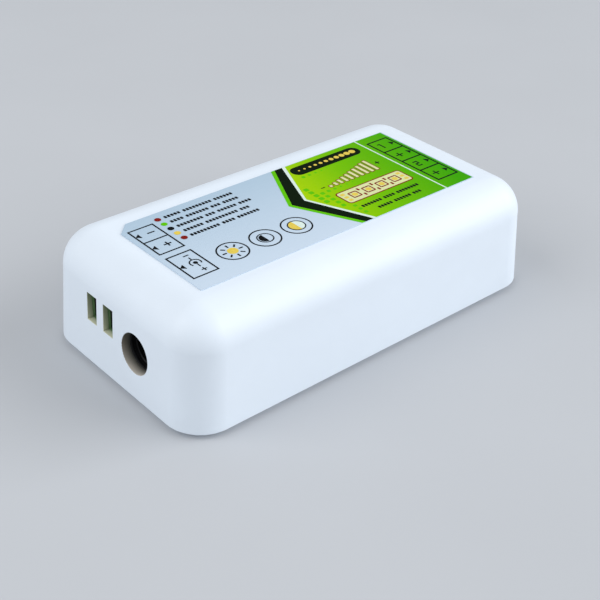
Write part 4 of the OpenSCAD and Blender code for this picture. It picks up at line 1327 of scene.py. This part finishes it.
def make_parts():
    materials = {name: maker(name, *traits) for name, (maker, *traits) in LOOKS.items()}
    base_plate()
    make_terminals(materials)
    for slot, name, rounding, nodes in ROUNDED:
        for node in nodes:
            softened(node, slot, materials[name], rounding * MM)
    softened("crystal_can", "nickel", materials["nickel_plating"], 0.3 * MM, 4)
    jack_nose(materials["jack_black"])
    board_tracks(materials["mask_over_copper"])
    board_silkscreen(materials["white_silkscreen"])
    board_screws(materials["screw_zinc"])
    solder(materials["solder"])
    capacitor(materials["capacitor_sleeve"], materials["can_end"])
    dress("capacitor_leads", materials["tinned_leads"])
    dress("crystal_leads", materials["tinned_leads"])
    dress("radio_antenna", materials["gold_flash"])


# Camera, solved from the photograph

TARGET = Vector((9.997, 10.834, -8.723)) * MM
AZIMUTH = math.radians(-42.097)
ELEVATION = math.radians(32.979)
ROLL = math.radians(1.948)
DISTANCE = 241.035 * MM
SENSOR_W = 36
PHOTO_W = 600
FOCAL_PIXELS = 1141.68
CLIP_START = 5 * MM


def place_camera():
    data = bpy.data.cameras.new("camera")
    data.sensor_width = SENSOR_W
    data.lens = SENSOR_W * FOCAL_PIXELS / PHOTO_W
    data.clip_start = CLIP_START
    camera = link("camera", data)
    tilt = Matrix.Rotation(math.radians(90) - ELEVATION, 4, "X")
    turn = Matrix.Rotation(AZIMUTH, 4, "Z") @ tilt @ Matrix.Rotation(ROLL, 4, "Z")
    camera.matrix_world = Matrix.Translation(TARGET) @ turn @ Matrix.Translation((0, 0, DISTANCE))
    bpy.context.scene.camera = camera


# Floor and light

LAMP_COLOUR = (0.975, 0.985, 1.0)
LIGHT_COLOUR = (0.97, 0.985, 1.0)
LIGHT_STRENGTH = 0.56
BACKGROUND_COLOUR = (0.87, 0.92, 1.0)
BACKGROUND_STRENGTH = 0.7
FLOOR_COLOUR = (0.52, 0.54, 0.57)
FLOOR_DROP = 0.02 * MM
FLOOR_R = 0.65
LAMP_AIM = Vector((0, 0, 0.01))

# Each lamp's place, size and power
SOFTBOXES = {
    "side_softbox": ((0.99, -0.90, 0.66), (1.5, 1.05), 18.8),
    "end_softbox": ((-0.70, 0.25, 0.60), (0.8, 0.8), 4.55),
}


def make_floor():
    bm = bmesh.new()
    bmesh.ops.create_circle(bm, cap_ends=True, segments=128, radius=FLOOR_R)
    floor = from_bmesh("floor", bm)
    floor.location.z = -FLOOR_DROP
    tree = Tree("floor_paper")
    clouds = tree.spread(tree.noise(60 * MM), *NOISE_RANGE)
    tree.colour(clouds, shade(FLOOR_COLOUR, 0.985), shade(FLOOR_COLOUR, 1.01))
    tree.set(Roughness=0.9, Specular_IOR_Level=0.05)
    paint(floor, tree.material)


def make_lamps():
    for name, (place, size, power) in SOFTBOXES.items():
        data = bpy.data.lights.new(name, "AREA")
        data.shape = "RECTANGLE"
        data.size, data.size_y = size
        data.energy = power
        data.color = LAMP_COLOUR
        lamp = link(name, data)
        lamp.location = place
        lamp.rotation_euler = (LAMP_AIM - Vector(place)).to_track_quat("-Z", "Y").to_euler()


def make_world():
    """Even soft light from all round. The camera, gloss and glass see a plain pale background."""
    world = bpy.data.worlds.new("studio")
    bpy.context.scene.world = world
    world.use_nodes = True
    tree = world.node_tree
    light = tree.nodes["Background"]
    plain = tree.nodes.new("ShaderNodeBackground")
    for node, colour, strength in ((light, LIGHT_COLOUR, LIGHT_STRENGTH),
                                   (plain, BACKGROUND_COLOUR, BACKGROUND_STRENGTH)):
        node.inputs["Color"].default_value = (*colour, 1)
        node.inputs["Strength"].default_value = strength
    path = tree.nodes.new("ShaderNodeLightPath")
    either = path.outputs["Is Camera Ray"]
    for ray in ("Is Transmission Ray", "Is Glossy Ray"):
        either = add_node(tree, "Math", 0, {0: either, 1: path.outputs[ray]}, operation="MAXIMUM")
    mix = add_node(tree, "MixShader", 0, {"Fac": either, 1: light.outputs[0], 2: plain.outputs[0]})
    tree.links.new(mix, tree.nodes["World Output"].inputs["Surface"])


bpy.context.scene.view_settings.view_transform = "Standard"
place_camera()
make_floor()
make_world()
make_lamps()
make_shell()
make_label()
make_parts()
